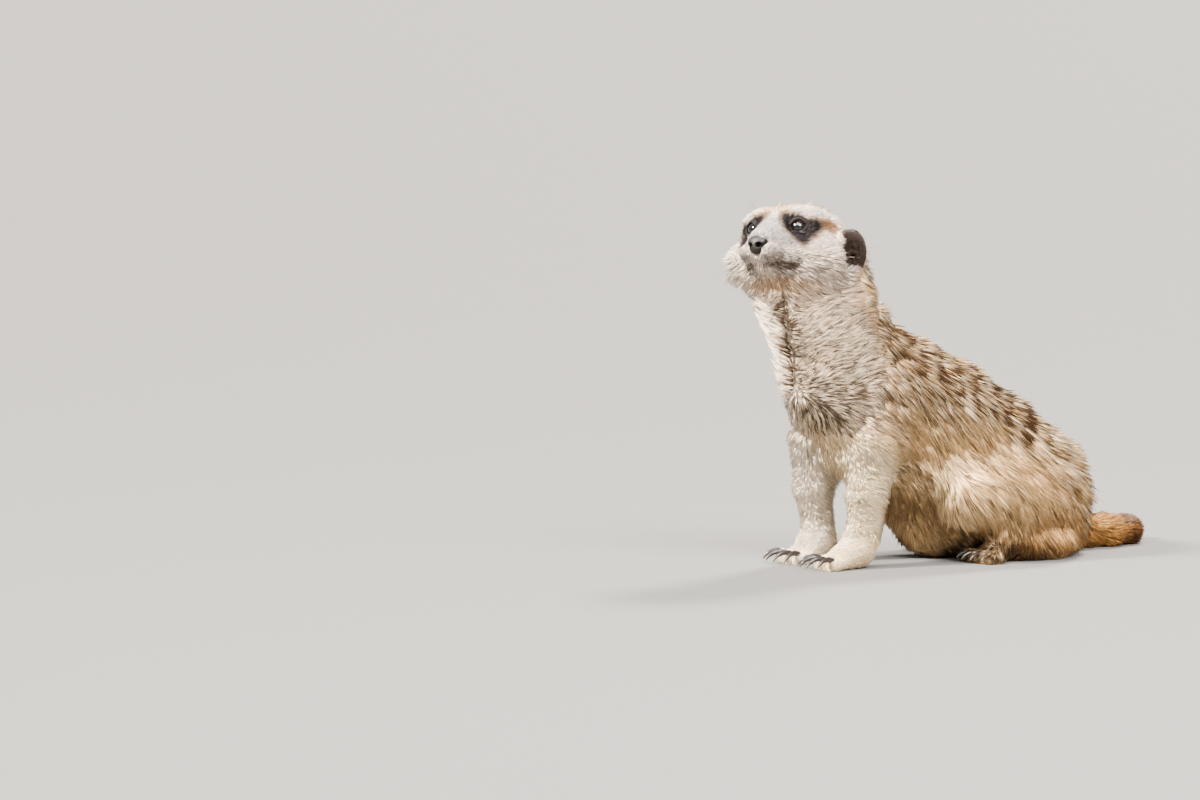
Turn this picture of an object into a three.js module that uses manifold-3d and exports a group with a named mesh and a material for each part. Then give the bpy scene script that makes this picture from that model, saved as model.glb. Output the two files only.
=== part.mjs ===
// A life-size meerkat, modelled at rest: it sits on its rump and hind feet with both front paws planted,
// leans its neck forward, turns its raised head to its left, and curls its tail behind it on the floor.
//
// Millimetres, +Z up. The animal faces -Y, so its left side is towards +X. The floor is the plane z = 0.
//
// The coat's outline is one blended surface over rounded forms (tapered limbs and ellipsoids). Every form
// belongs to a named part, and thin cuts divide the body where the forms of two parts are equally near.

import * as THREE from "three";
import { mergeVertices } from "three/addons/utils/BufferGeometryUtils.js";
import Module from "manifold-3d";

// ---------------------------------------------------------------- driving dimensions

const GAP = 0.6; // between two parts of the body
const THINNING = 0.18; // how far a face may move when needless vertices are removed
const MOST_TURN = 0.6; // radians that it may turn
const LONGEST_EDGE = 16; // that this leaves
const SLIVER = 0.25; // the least width of a face that this makes
const CLEARANCE = 0.35; // round an eye, a nose or a claw that is set into the body

// Stations of the body: x, y, z of a centre, and the radius there, out to the tips of the coat.
const PELVIS = [0, 50, 36, 36];
const LOIN = [0, 18, 58, 37];
const WAIST = [-1, -12, 77, 35];
const RIBS = [-3, -40, 93, 33];
const CHEST = [-5, -62, 104, 32];
const BREAST = [-3, -78, 98, 27];
const SEAT = [14, 57, 23, 25]; // the left side of the rump, where it rests on the floor
const BELLY = [-3, -1, 27, 24]; // hangs between the feet
const STERNUM = [-2, -58, 73, 24];
const NECK = [
  [-3, -76, 122, 33],
  [2, -90, 146, 32.5],
  [3, -101, 162, 29.5],
];

// The head turns about the point midway between the eyes.
const HEAD_AT = [7, -123.2, 188.5];
const HEAD_YAW = 26.5; // degrees to its own left
const HEAD_PITCH = 12.5; // degrees up
const HEAD_ROLL = -4.9; // degrees, its left side raised

// The places below are in the head's own frame: x to its left, -y towards its nose, z to its crown.
const BRAINCASE = { at: [0, 27, -3.5], radii: [24.5, 28, 17.5] };
const FACE = [[0, 19, -8, 21], [0, -5, -12, 9.5]];
const MUZZLE = [[0, 0, -11.5, 10.5], [0, -12, -14, 7]];
const BRIDGE = [[0, 6, -1, 7], [0, -14, -9, 4.5]];
const JAW = [[0, 14, -23, 11], [0, -9, -21, 5]];
const CHEEK = [[7, 0, -15, 7.5], [21.5, 15.8, -15.8, 14]];
const TEMPLE = [[10, 26, 3, 11], [25, 31, -3, 7]]; // the ridge from the crown to an ear
const BROW = { at: [11.5, 9, 4.2], radii: [10, 9, 7.4] };
const HEAD_BLEND = 9;
const EYE = { at: [12.2, 5.5, 0], radius: 5.6, looks: [0.45, -0.89, 0.05] };
const EYE_PIT = { ahead: 8.5, radius: 7 }; // the shallow hollow round an eye
const NOSE = { at: [0, -18.6, -12], radii: [5.4, 4.3, 4.7] };
const EAR = { at: [31.5, 28.5, -11.8], radii: [4.5, 9.3, 12.3], turn: -35, lean: 10 };
const CONCHA = { at: [3.8, -1, -0.5], radii: [3.4, 5.2, 7.5] }; // the ear's hollow, from the ear's centre

// Each paw has a wrist and a palm, and four toes that fan out from the palm.
const FRONT = {
  left: {
    leg: [[14, -56, 92, 17], [19, -62, 68, 13.5], [19, -68, 42, 10.5], [19, -70, 18, 10]],
    wrist: [19, -75, 8, 8.5],
    palm: [20, -84, 6.8, 8],
    turn: -12,
  },
  right: {
    leg: [[-18, -64, 92, 16], [-21, -75, 68, 12.5], [-21, -75, 42, 10], [-20, -72, 18, 9.5]],
    wrist: [-20, -71, 8, 8.5],
    palm: [-19, -79, 6.8, 8],
    turn: -8,
  },
};
const HIND = {
  left: {
    leg: [[24, 38, 40, 28], [35, -12, 40, 15]],
    heel: [37, 46, 9, 10],
    palm: [37, 9, 6.8, 7.5],
    turn: 0,
  },
  right: {
    leg: [[-24, 38, 40, 28], [-34, -10, 37, 16]],
    heel: [-35, 62, 9, 10],
    palm: [-34, 26, 6.8, 7.5],
    turn: 0,
  },
};
const TOES = [-1.5, -0.5, 0.5, 1.5]; // steps across the paw, from its right to its left
const TOE_STEP = 2.6; // between toe roots
const TOE_FAN = 14; // degrees between toes
const FRONT_TOE = { reach: 12, radius: 3.7, height: 3 };
const HIND_TOE = { reach: 13, radius: 3.6, height: 3.3 };
const FRONT_CLAW = { length: 15, radius: 2.2, rise: 36, bend: 98 };
const HIND_CLAW = { length: 10, radius: 1.8, rise: 14, bend: 66 };
const CLAW_ROOT = 3; // how deep a claw is set into its toe
const CLAW_LIFT = 1.8; // and how far above the toe's middle

const TAIL = [
  [0, 72, 18, 12],
  [3, 92, 10, 9.8],
  [7, 112, 8.4, 8.9],
  [4, 130, 7.8, 8.3],
  [-12, 142, 7.2, 7.7],
  [-34, 145, 6.6, 7.1],
  [-58, 139, 6, 6.5],
  [-80, 126, 5.4, 5.9],
  [-97, 108, 4.4, 4.9],
];
const TAIL_LENGTHS = { tail_base: [0, 4], tail_middle: [4, 6], tail_tip: [6, 8] }; // first and last station

// ---------------------------------------------------------------- distance fields

// Signed distance to a tapered limb between stations a and b.
function limb(a, b) {
  const [ax, ay, az, ra] = a;
  const [dx, dy, dz] = [b[0] - ax, b[1] - ay, b[2] - az];
  const dr = b[3] - ra;
  const lengthSq = dx * dx + dy * dy + dz * dz;
  return (x, y, z) => {
    const [px, py, pz] = [x - ax, y - ay, z - az];
    const t = Math.min(1, Math.max(0, (px * dx + py * dy + pz * dz) / lengthSq));
    return Math.hypot(px - t * dx, py - t * dy, pz - t * dz) - (ra + t * dr);
  };
}

// Limbs through a row of stations.
function chain(stations) {
  return stations.slice(1).map((b, i) => limb(stations[i], b));
}

// Signed distance, near enough, to an ellipsoid.
function ellipsoid([cx, cy, cz], [rx, ry, rz]) {
  return (x, y, z) => {
    const [px, py, pz] = [(x - cx) / rx, (y - cy) / ry, (z - cz) / rz];
    const k = Math.hypot(px, py, pz);
    const slope = Math.hypot(px / rx, py / ry, pz / rz);
    return slope < 1e-9 ? -Math.min(rx, ry, rz) : (k * (k - 1)) / slope;
  };
}

// The smaller of two distances, with a fillet of about k between them.
function soften(a, b, k) {
  const h = Math.max(0, k - Math.abs(a - b)) / k;
  return Math.min(a, b) - (h * h * k) / 4;
}

// One form with another cut out of it, with a soft rim.
function hollowed(form, cut, k) {
  return (x, y, z) => -soften(-form(x, y, z), cut(x, y, z), k);
}

function blend(forms, k) {
  return (x, y, z) => forms.reduce((d, form) => soften(d, form(x, y, z), k), 1e3);
}

// A field given in a frame of its own, which the matrix places.
function placed(field, matrix) {
  const e = matrix.clone().invert().elements;
  return (x, y, z) =>
    field(
      e[0] * x + e[4] * y + e[8] * z + e[12],
      e[1] * x + e[5] * y + e[9] * z + e[13],
      e[2] * x + e[6] * y + e[10] * z + e[14],
    );
}

// ---------------------------------------------------------------- forms of each part

const radians = THREE.MathUtils.degToRad;
const HEAD_TURN = new THREE.Matrix4()
  .makeRotationFromEuler(
    new THREE.Euler(radians(-HEAD_PITCH), radians(HEAD_ROLL), radians(HEAD_YAW), "ZYX"),
  )
  .setPosition(...HEAD_AT);

const mirrored = ([x, y, z], side) => [side * x, y, z];

function headForms() {
  const middle = [ellipsoid(BRAINCASE.at, BRAINCASE.radii), ...[FACE, MUZZLE, BRIDGE, JAW].flatMap(chain)];
  const pairs = [-1, 1].flatMap((side) => [
    ...[CHEEK, TEMPLE].flatMap((row) => chain(row.map(([x, ...rest]) => [side * x, ...rest]))),
    ellipsoid(mirrored(BROW.at, side), BROW.radii),
  ]);
  const pits = [-1, 1].map((side) => {
    const at = EYE.at.map((v, a) => v + EYE.looks[a] * EYE_PIT.ahead);
    return ellipsoid(mirrored(at, side), Array(3).fill(EYE_PIT.radius));
  });
  const skull = blend([...middle, ...pairs], HEAD_BLEND);
  return placed(pits.reduce((form, pit) => hollowed(form, pit, 2), skull), HEAD_TURN);
}

// An ear: a rounded flap whose hollow side faces out and forward.
function earForms(side) {
  const flap = ellipsoid([0, 0, 0], EAR.radii);
  const hollow = ellipsoid(mirrored(CONCHA.at, side), CONCHA.radii);
  const place = new THREE.Matrix4()
    .makeRotationFromEuler(new THREE.Euler(0, radians(side * EAR.lean), radians(side * EAR.turn), "ZYX"))
    .setPosition(...mirrored(EAR.at, side))
    .premultiply(HEAD_TURN);
  return placed((x, y, z) => Math.max(flap(x, y, z), -hollow(x, y, z)), place);
}

// Where each toe of a paw starts and ends, and which way it points.
function toesOf({ palm, turn }, toe) {
  return TOES.map((step) => {
    const heading = radians(turn + step * TOE_FAN);
    const forward = new THREE.Vector3(Math.sin(heading), -Math.cos(heading), 0);
    const across = new THREE.Vector3(Math.cos(radians(turn)), Math.sin(radians(turn)), 0);
    const root = new THREE.Vector3(palm[0], palm[1], palm[2] - 1).addScaledVector(across, step * TOE_STEP);
    const reach = toe.reach - Math.abs(step) * 1.2;
    const tip = root.clone().addScaledVector(forward, reach);
    tip.z = toe.height;
    return { root, tip, forward };
  });
}

function pawForms(paw, toe, back) {
  const toes = toesOf(paw, toe).map(({ root, tip }) =>
    limb([...root, toe.radius], [...tip, toe.radius]),
  );
  return blend([limb(back, paw.palm), blend(toes, 1.5)], 4);
}

const parts = {
  ear_left: { cell: 3.2, blend: 1.5, field: earForms(1) },
  ear_right: { cell: 3.2, blend: 1.5, field: earForms(-1) },
  head: { cell: 4.2, blend: 6, field: headForms() },
};
for (const [side, paw] of Object.entries(FRONT))
  parts[`front_paw_${side}`] = { cell: 3.8, blend: 5, field: pawForms(paw, FRONT_TOE, paw.wrist) };
for (const [side, paw] of Object.entries(HIND))
  parts[`hind_foot_${side}`] = { cell: 4.4, blend: 4, field: pawForms(paw, HIND_TOE, paw.heel) };
for (const [name, [start, end]] of Object.entries(TAIL_LENGTHS).reverse())
  parts[name] = { cell: 5.8, blend: 5, field: blend(chain(TAIL.slice(start, end + 1)), 4) };
for (const [side, { leg }] of Object.entries(FRONT))
  parts[`front_leg_${side}`] = { cell: 7.4, blend: 10, field: blend(chain(leg), 6) };
for (const [side, { leg, heel }] of Object.entries(HIND))
  parts[`hind_leg_${side}`] = { cell: 10, blend: 12, field: blend(chain([...leg, heel]), 6) };
parts.neck = { cell: 10.5, blend: 12, field: blend(chain(NECK), 8) };
parts.trunk = {
  cell: 12,
  blend: 12,
  field: blend(
    [
      ...chain([PELVIS, LOIN, WAIST, RIBS, CHEST, BREAST]),
      ...chain([PELVIS, BELLY, WAIST]),
      limb(RIBS, STERNUM),
      limb(SEAT, [-SEAT[0], ...SEAT.slice(1)]),
    ],
    12,
  ),
};
const names = Object.keys(parts);

// The whole body: every part's forms, flowing together.
function body(x, y, z) {
  return names.reduce((d, name) => soften(d, parts[name].field(x, y, z), parts[name].blend), 1e3);
}

// Below zero where a part's own forms are nearer than those of every later part.
function ownSide(name) {
  const later = names.slice(names.indexOf(name) + 1).map((other) => parts[other].field);
  return (x, y, z) => parts[name].field(x, y, z) - Math.min(...later.map((field) => field(x, y, z)));
}

// ---------------------------------------------------------------- surfaces from fields

// The box round a part: where its forms are nearer than `reach`, found on a coarse grid.
function extent(field, reach) {
  const step = 6;
  const [low, high] = [new THREE.Vector3(-130, -175, -12), new THREE.Vector3(80, 175, 235)];
  const box = new THREE.Box3();
  const at = new THREE.Vector3();
  for (at.x = low.x; at.x <= high.x; at.x += step)
    for (at.y = low.y; at.y <= high.y; at.y += step)
      for (at.z = low.z; at.z <= high.z; at.z += step)
        if (field(at.x, at.y, at.z) < reach) box.expandByPoint(at);
  return box;
}

// The field's values on a grid that fills the box. The outermost lie outside, which closes the surface.
function sample(field, box, cell) {
  const size = box.getSize(new THREE.Vector3());
  const n = size.toArray().map((s) => Math.ceil(s / cell) + 1);
  const values = new Float64Array(n[0] * n[1] * n[2]);
  const point = (i, j, k) => [box.min.x + i * cell, box.min.y + j * cell, box.min.z + k * cell];
  const at = (i, j, k) => i + n[0] * (j + n[1] * k);
  for (let k = 0; k < n[2]; k++)
    for (let j = 0; j < n[1]; j++)
      for (let i = 0; i < n[0]; i++) {
        const border = [i, j, k].some((v, a) => v === 0 || v === n[a] - 1);
        const value = field(...point(i, j, k));
        values[at(i, j, k)] = border ? Math.max(value, cell / 2) : value;
      }
  return { n, values, point, at };
}

const CUBE = [0, 1, 2, 3, 4, 5, 6, 7].map((c) => [c & 1, (c >> 1) & 1, c >> 2]);
const SQUARES = [
  [[0, 0, 0], [1, 0, 0], [1, 1, 0], [0, 1, 0]],
  [[0, 0, 0], [1, 0, 0], [1, 0, 1], [0, 0, 1]],
  [[0, 0, 0], [0, 1, 0], [0, 1, 1], [0, 0, 1]],
];

// Two inside corners of a grid square or cube that touch only at a point would pinch the surface: they are
// opened.
function unpinch({ n, values, at }) {
  const open = 0.05;
  for (let changed = true; changed; ) {
    changed = false;
    for (let k = 0; k < n[2] - 1; k++)
      for (let j = 0; j < n[1] - 1; j++)
        for (let i = 0; i < n[0] - 1; i++) {
          for (const square of SQUARES) {
            const corners = square.map(([a, b, c]) => at(i + a, j + b, k + c));
            const [p, q, r, s] = corners.map((c) => values[c] < 0);
            if (p !== r || q !== s || p === q) continue;
            corners.forEach((c) => (values[c] = Math.max(values[c], open)));
            changed = true;
          }
          const inside = CUBE.filter(([a, b, c]) => values[at(i + a, j + b, k + c)] < 0);
          if (inside.length !== 2 || inside[0].some((v, a) => v === inside[1][a])) continue;
          inside.forEach(([a, b, c]) => (values[at(i + a, j + b, k + c)] = open));
          changed = true;
        }
  }
}

// One vertex in each grid cube that the surface passes through, at the middle of its crossings.
function cubeVertices({ n, values, point, at }) {
  const points = [];
  const vertexOf = new Map();
  for (let k = 0; k < n[2] - 1; k++)
    for (let j = 0; j < n[1] - 1; j++)
      for (let i = 0; i < n[0] - 1; i++) {
        const sum = new THREE.Vector3();
        let crossings = 0;
        for (const from of CUBE)
          for (const axis of [0, 1, 2]) {
            if (from[axis]) continue;
            const to = from.map((v, a) => (a === axis ? 1 : v));
            const va = values[at(i + from[0], j + from[1], k + from[2])];
            const vb = values[at(i + to[0], j + to[1], k + to[2])];
            if (va < 0 === vb < 0) continue;
            const crossing = new THREE.Vector3(...from);
            crossing.setComponent(axis, va / (va - vb));
            sum.add(crossing);
            crossings++;
          }
        if (!crossings) continue;
        sum.divideScalar(crossings);
        vertexOf.set(at(i, j, k), points.length / 3);
        points.push(...point(i + sum.x, j + sum.y, k + sum.z));
      }
  return { points, vertexOf };
}

// Moves each vertex down the field's slope onto the surface.
function settle(points, field, most) {
  const h = 0.05;
  for (let i = 0; i < points.length; i += 3) {
    const [x, y, z] = points.slice(i, i + 3);
    const slope = [
      (field(x + h, y, z) - field(x - h, y, z)) / (2 * h),
      (field(x, y + h, z) - field(x, y - h, z)) / (2 * h),
      (field(x, y, z + h) - field(x, y, z - h)) / (2 * h),
    ];
    const steepness = Math.hypot(...slope);
    if (steepness < 0.1) continue;
    const move = THREE.MathUtils.clamp(field(x, y, z) / steepness, -most, most);
    slope.forEach((v, a) => (points[i + a] -= (v / steepness) * move));
  }
}

// A closed mesh of the surface where the field is zero, inside the box.
function polygonise(field, box, cell) {
  const grid = sample(field, box, cell);
  unpinch(grid);
  const { n, values, at } = grid;
  const { points, vertexOf } = cubeVertices(grid);
  const index = [];
  const rings = [
    [[0, 1, 0], [0, 0, 1]],
    [[0, 0, 1], [1, 0, 0]],
    [[1, 0, 0], [0, 1, 0]],
  ];
  for (let k = 0; k < n[2] - 1; k++)
    for (let j = 0; j < n[1] - 1; j++)
      for (let i = 0; i < n[0] - 1; i++)
        rings.forEach(([u, v], axis) => {
          const step = [0, 1, 2].map((a) => (a === axis ? 1 : 0));
          const va = values[at(i, j, k)];
          const vb = values[at(i + step[0], j + step[1], k + step[2])];
          if (va < 0 === vb < 0) return;
          const quad = [[0, 0], [1, 0], [1, 1], [0, 1]].map(([a, b]) =>
            vertexOf.get(at(i - a * u[0] - b * v[0], j - a * u[1] - b * v[1], k - a * u[2] - b * v[2])),
          );
          if (va >= 0) quad.reverse();
          index.push(quad[0], quad[1], quad[2], quad[0], quad[2], quad[3]);
        });
  settle(points, field, cell / 4);
  settle(points, field, cell / 8);
  const geometry = new THREE.BufferGeometry();
  geometry.setAttribute("position", new THREE.Float32BufferAttribute(points, 3));
  geometry.setIndex(index);
  return geometry;
}

// The same mesh, swollen by a small distance.
function swell(geometry, distance) {
  const swollen = geometry.clone();
  swollen.computeVertexNormals();
  const { position, normal } = swollen.attributes;
  const at = new THREE.Vector3();
  const out = new THREE.Vector3();
  for (let i = 0; i < position.count; i++) {
    at.fromBufferAttribute(position, i).addScaledVector(out.fromBufferAttribute(normal, i), distance);
    position.setXYZ(i, ...at);
  }
  return swollen;
}

// ---------------------------------------------------------------- joins and cuts

const wasm = await Module();
wasm.setup();

function solid(geometry) {
  const bare = new THREE.BufferGeometry();
  bare.setAttribute("position", geometry.getAttribute("position"));
  bare.setIndex(geometry.getIndex());
  const merged = mergeVertices(bare, 1e-3);
  const vertProperties = merged.attributes.position.array;
  const triVerts = new Uint32Array(merged.index.array);
  return new wasm.Manifold(new wasm.Mesh({ numProp: 3, vertProperties, triVerts }));
}

function geometryOf(made) {
  const { vertProperties, triVerts, numProp } = made.getMesh();
  const positions = new Float32Array((vertProperties.length / numProp) * 3);
  for (let i = 0; i < positions.length / 3; i++)
    positions.set(vertProperties.subarray(i * numProp, i * numProp + 3), i * 3);
  const geometry = new THREE.BufferGeometry();
  geometry.setAttribute("position", new THREE.BufferAttribute(positions, 3));
  geometry.setIndex(new THREE.BufferAttribute(triVerts, 1));
  return geometry;
}

// The largest of a solid's separate bodies: a cut can leave crumbs.
function mainBody(made) {
  return made.decompose().reduce((a, b) => (b.volume() > a.volume() ? b : a));
}

// Draws each vertex that the surface can do without onto a neighbour that lies within THINNING of every
// face round it, where that leaves the surface closed, turns no face over and makes no sliver.
function thin(geometry) {
  const { position } = geometry.attributes;
  const index = [...geometry.index.array];
  const at = Array(position.count)
    .fill()
    .map((_, i) => new THREE.Vector3().fromBufferAttribute(position, i));
  const faces = Array(index.length / 3).fill().map((_, i) => index.slice(3 * i, 3 * i + 3));
  const around = at.map(() => new Set());
  faces.forEach((face, i) => face.forEach((v) => around[v].add(i)));
  const drift = at.map(() => 0);
  const neighbours = (v) => new Set([...around[v]].flatMap((i) => faces[i]).filter((w) => w !== v));
  const triangle = (face) => new THREE.Triangle(...face.map((v) => at[v]));

  function allowed(v, w, near) {
    if ([...neighbours(w)].filter((u) => near.has(u)).length !== 2) return Infinity;
    let worst = drift[v];
    for (const i of around[v]) {
      const before = triangle(faces[i]);
      const off = Math.abs(before.getPlane(new THREE.Plane()).distanceToPoint(at[w]));
      worst = Math.max(worst, drift[v] + off);
      if (faces[i].includes(w)) continue;
      const after = triangle(faces[i].map((u) => (u === v ? w : u)));
      const { a, b, c } = after;
      const longest = Math.max(a.distanceTo(b), b.distanceTo(c), c.distanceTo(a));
      const slender = (2 * after.getArea()) / longest < Math.min(SLIVER, before.getArea() / longest);
      const turn = before.getNormal(new THREE.Vector3()).angleTo(after.getNormal(new THREE.Vector3()));
      const folded = turn > MOST_TURN && before.getArea() > SLIVER * SLIVER;
      if (slender || folded || longest > LONGEST_EDGE) return Infinity;
    }
    return worst;
  }

  for (let pass = 0; pass < 3; pass++)
    at.forEach((_, v) => {
      const near = neighbours(v);
      const choices = [...near].map((w) => [allowed(v, w, near), w]).filter(([off]) => off < THINNING);
      if (!choices.length) return;
      const [off, w] = choices.reduce((a, b) => (b[0] < a[0] ? b : a));
      drift[w] = Math.max(drift[w], off);
      for (const i of around[v])
        if (faces[i].includes(w)) faces[i].forEach((u) => u !== v && around[u].delete(i));
        else {
          faces[i] = faces[i].map((u) => (u === v ? w : u));
          around[w].add(i);
        }
      for (const i of around[v]) if (!around[w].has(i)) faces[i] = null;
      around[v].clear();
    });
  const thinned = new THREE.BufferGeometry();
  thinned.setAttribute("position", position);
  thinned.setIndex(faces.filter(Boolean).flat());
  return thinned;
}

const ROOM = 600;
const aboveFloor = solid(new THREE.BoxGeometry(ROOM, ROOM, ROOM).translate(0, 0, ROOM / 2));

// Divides the body, part by part: each takes its own side of the cut, and later parts keep a gap to it.
function divideBody() {
  const pieces = {};
  const taken = [];
  for (const name of names) {
    const { cell, field, blend: reach } = parts[name];
    const box = extent(field, reach + 4);
    let piece = solid(polygonise(body, box, cell)).intersect(aboveFloor);
    if (name !== names.at(-1)) {
      const side = polygonise(ownSide(name), box.clone().expandByScalar(cell), cell * 1.7);
      piece = piece.intersect(solid(side));
      taken.push(solid(swell(side, GAP)));
    }
    const earlier = name === names.at(-1) ? taken : taken.slice(0, -1);
    piece = earlier.reduce((rest, other) => rest.subtract(other), piece);
    pieces[name] = mainBody(piece);
  }
  return pieces;
}

// ---------------------------------------------------------------- eyes, nose and claws

function ballAt([x, y, z], radii) {
  const geometry = new THREE.SphereGeometry(1, 12, 7);
  return geometry.scale(...radii).translate(x, y, z).applyMatrix4(HEAD_TURN);
}

const grown = (radii, by) => radii.map((r) => r + by);

// A claw: a cone bent down along an arc, from inside its toe to just over the floor.
function clawGeometry({ tip, forward }, { length, radius, rise, bend }, clearance) {
  const cone = new THREE.ConeGeometry(radius + clearance, length + clearance, 5, 3);
  cone.translate(0, length / 2, 0);
  const side = new THREE.Vector3(forward.y, -forward.x, 0);
  const start = tip.clone().addScaledVector(forward, FRONT_TOE.radius - CLAW_ROOT);
  start.z += CLAW_LIFT;
  const arc = length / radians(bend);
  const { position } = cone.attributes;
  for (let i = 0; i < position.count; i++) {
    const pitch = radians(rise - (bend * position.getY(i)) / length);
    const up = arc * (Math.cos(pitch) - Math.cos(radians(rise))) + position.getZ(i) * Math.cos(pitch);
    const ahead = arc * (Math.sin(radians(rise)) - Math.sin(pitch)) - position.getZ(i) * Math.sin(pitch);
    const at = start.clone().addScaledVector(forward, ahead).addScaledVector(side, position.getX(i));
    position.setXYZ(i, at.x, at.y, at.z + up);
  }
  return cone;
}

// ---------------------------------------------------------------- the model

const LOOKS = {
  coat: { color: 0xd8c3a0, roughness: 0.95 },
  back: { color: 0xab8e68, roughness: 0.95 },
  face: { color: 0xe2d6c6, roughness: 0.95 },
  ear: { color: 0x35251d, roughness: 0.9 },
  tail: { color: 0xc39a6a, roughness: 0.95 },
  tail_end: { color: 0x4a3423, roughness: 0.95 },
  eye: { color: 0x1c120c, roughness: 0.08 },
  nose: { color: 0x3a3434, roughness: 0.45 },
  claw: { color: 0x3d3630, roughness: 0.4 },
};

// The look of a part of the body, by how its name starts.
const BODY_LOOKS = {
  trunk: "back",
  head: "face",
  neck: "face",
  ear: "ear",
  tail_tip: "tail_end",
  tail: "tail",
  hind_foot: "tail",
};

function lookOf(name) {
  const start = Object.keys(BODY_LOOKS).find((key) => name.startsWith(key));
  return BODY_LOOKS[start] ?? "coat";
}

const meerkat = new THREE.Group();

function add(name, geometry, look) {
  const mesh = new THREE.Mesh(geometry, new THREE.MeshStandardMaterial({ ...LOOKS[look], metalness: 0 }));
  mesh.name = name;
  meerkat.add(mesh);
}

const pieces = divideBody();

for (const [side, label] of [[1, "left"], [-1, "right"]]) {
  const at = mirrored(EYE.at, side);
  const radii = Array(3).fill(EYE.radius);
  add(`eye_${label}`, ballAt(at, radii), "eye");
  pieces.head = pieces.head.subtract(solid(ballAt(at, grown(radii, CLEARANCE))));
}
add("nose", ballAt(NOSE.at, NOSE.radii), "nose");
pieces.head = pieces.head.subtract(solid(ballAt(NOSE.at, grown(NOSE.radii, CLEARANCE))));

for (const [limbName, paws, toe, claw] of [
  ["front_paw", FRONT, FRONT_TOE, FRONT_CLAW],
  ["hind_foot", HIND, HIND_TOE, HIND_CLAW],
])
  for (const [side, paw] of Object.entries(paws))
    toesOf(paw, toe).forEach((each, i) => {
      const owner = `${limbName}_${side}`;
      add(`claw_${limbName.split("_")[0]}_${side}_${i + 1}`, clawGeometry(each, claw, 0), "claw");
      pieces[owner] = pieces[owner].subtract(solid(clawGeometry(each, claw, CLEARANCE)));
    });

for (const name of names) add(name, thin(geometryOf(mainBody(pieces[name]))), lookOf(name));

// The part's origin is on the floor, under the middle of its box.
const middle = new THREE.Box3().setFromObject(meerkat).getCenter(new THREE.Vector3());
meerkat.position.set(-middle.x, -middle.y, 0);

export default meerkat;
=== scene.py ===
"""The looks of a meerkat, life-size and still: it sits on its rump with its front paws planted and its
head raised. One skin takes the place of the frame's nodes of flesh, inside them by the depth of the
coat, and the coat is solid tufts on it. Lengths are in millimetres, and meshes are made in metres."""

from math import ceil, cos, hypot, pi, radians, sin

import bpy
import numpy as np
import openvdb
from mathutils import Matrix, Vector
from mathutils.kdtree import KDTree


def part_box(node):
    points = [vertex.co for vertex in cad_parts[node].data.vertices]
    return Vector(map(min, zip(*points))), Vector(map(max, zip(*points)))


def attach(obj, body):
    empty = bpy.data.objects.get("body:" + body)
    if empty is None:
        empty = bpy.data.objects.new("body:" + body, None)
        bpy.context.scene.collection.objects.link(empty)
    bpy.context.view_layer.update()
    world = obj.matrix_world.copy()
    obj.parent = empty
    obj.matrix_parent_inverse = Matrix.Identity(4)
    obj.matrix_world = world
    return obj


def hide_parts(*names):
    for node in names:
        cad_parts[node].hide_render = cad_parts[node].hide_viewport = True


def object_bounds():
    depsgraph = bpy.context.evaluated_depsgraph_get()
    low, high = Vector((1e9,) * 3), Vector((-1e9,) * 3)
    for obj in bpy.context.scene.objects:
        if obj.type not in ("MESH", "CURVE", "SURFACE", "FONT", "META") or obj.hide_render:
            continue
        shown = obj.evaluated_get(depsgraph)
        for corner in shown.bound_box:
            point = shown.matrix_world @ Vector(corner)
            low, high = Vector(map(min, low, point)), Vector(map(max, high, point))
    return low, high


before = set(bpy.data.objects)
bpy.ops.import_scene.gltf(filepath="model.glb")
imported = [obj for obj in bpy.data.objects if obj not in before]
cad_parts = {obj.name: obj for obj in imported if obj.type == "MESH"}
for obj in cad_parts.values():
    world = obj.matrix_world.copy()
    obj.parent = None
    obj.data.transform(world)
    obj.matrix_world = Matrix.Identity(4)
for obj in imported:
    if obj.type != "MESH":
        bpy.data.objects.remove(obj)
cad_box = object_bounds()

MM = 0.001
SIDES = (1, -1)
FLOAT = np.float32
dice = np.random.default_rng(7)


# ---------------------------------------------------------------- places, all from the frame

def box(node):
    """The lowest and the highest corner of a node."""
    low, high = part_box(node)
    return np.array(low) / MM, np.array(high) / MM


def middle(node):
    low, high = box(node)
    return (low + high) / 2


def turning(degrees, axis):
    return Matrix.Rotation(radians(degrees), 3, axis)


def unit(vectors):
    return vectors / np.maximum(np.linalg.norm(vectors, axis=-1, keepdims=True), 1e-9)


def mirror(side):
    """What takes places of the left side, which is 1, to the same side or to the right."""
    return np.array((side, 1, 1), FLOAT)


# The head's own axes: x to its left, -y along the nose, z through the crown.
HEAD_YAW, HEAD_PITCH, HEAD_ROLL = 26.5, 12.5, -4.9
HEAD_AXES = np.array(turning(HEAD_YAW, "Z") @ turning(HEAD_ROLL, "Y") @ turning(-HEAD_PITCH, "X"))
EYE_BACK = 5.5
HEAD_AT = (middle("eye_left") + middle("eye_right")) / 2 - HEAD_AXES @ (0, EYE_BACK, 0)
EYE_LEFT = (middle("eye_left") - HEAD_AT) @ HEAD_AXES
EYE_RADIUS = (box("eye_left")[1] - box("eye_left")[0]).max() / 2
LOOK = np.array((0.45, -0.89, 0.05))

# The body's axes are the frame's, from the floor under the middle of the trunk's box.
BODY_AT = middle("trunk") * (1, 1, 0)


def from_head(points):
    return np.asarray(points, float) @ HEAD_AXES.T + HEAD_AT


def in_head(points):
    return ((points - HEAD_AT) @ HEAD_AXES).astype(FLOAT)


def from_body(points):
    return np.asarray(points, float) + BODY_AT


def in_body(points):
    return points - BODY_AT


# The neck turns with the head. Places on it are given as if it looked straight ahead, in the body's
# axes: it turns about a line between two places of the body.
NECK_AXIS = np.array(((-3, -67, 122), (3, -92, 162)), float)
NECK_TURN = 29
NECK_TURNS = (92, 153)  # the heights where the turn starts and is whole


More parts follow.
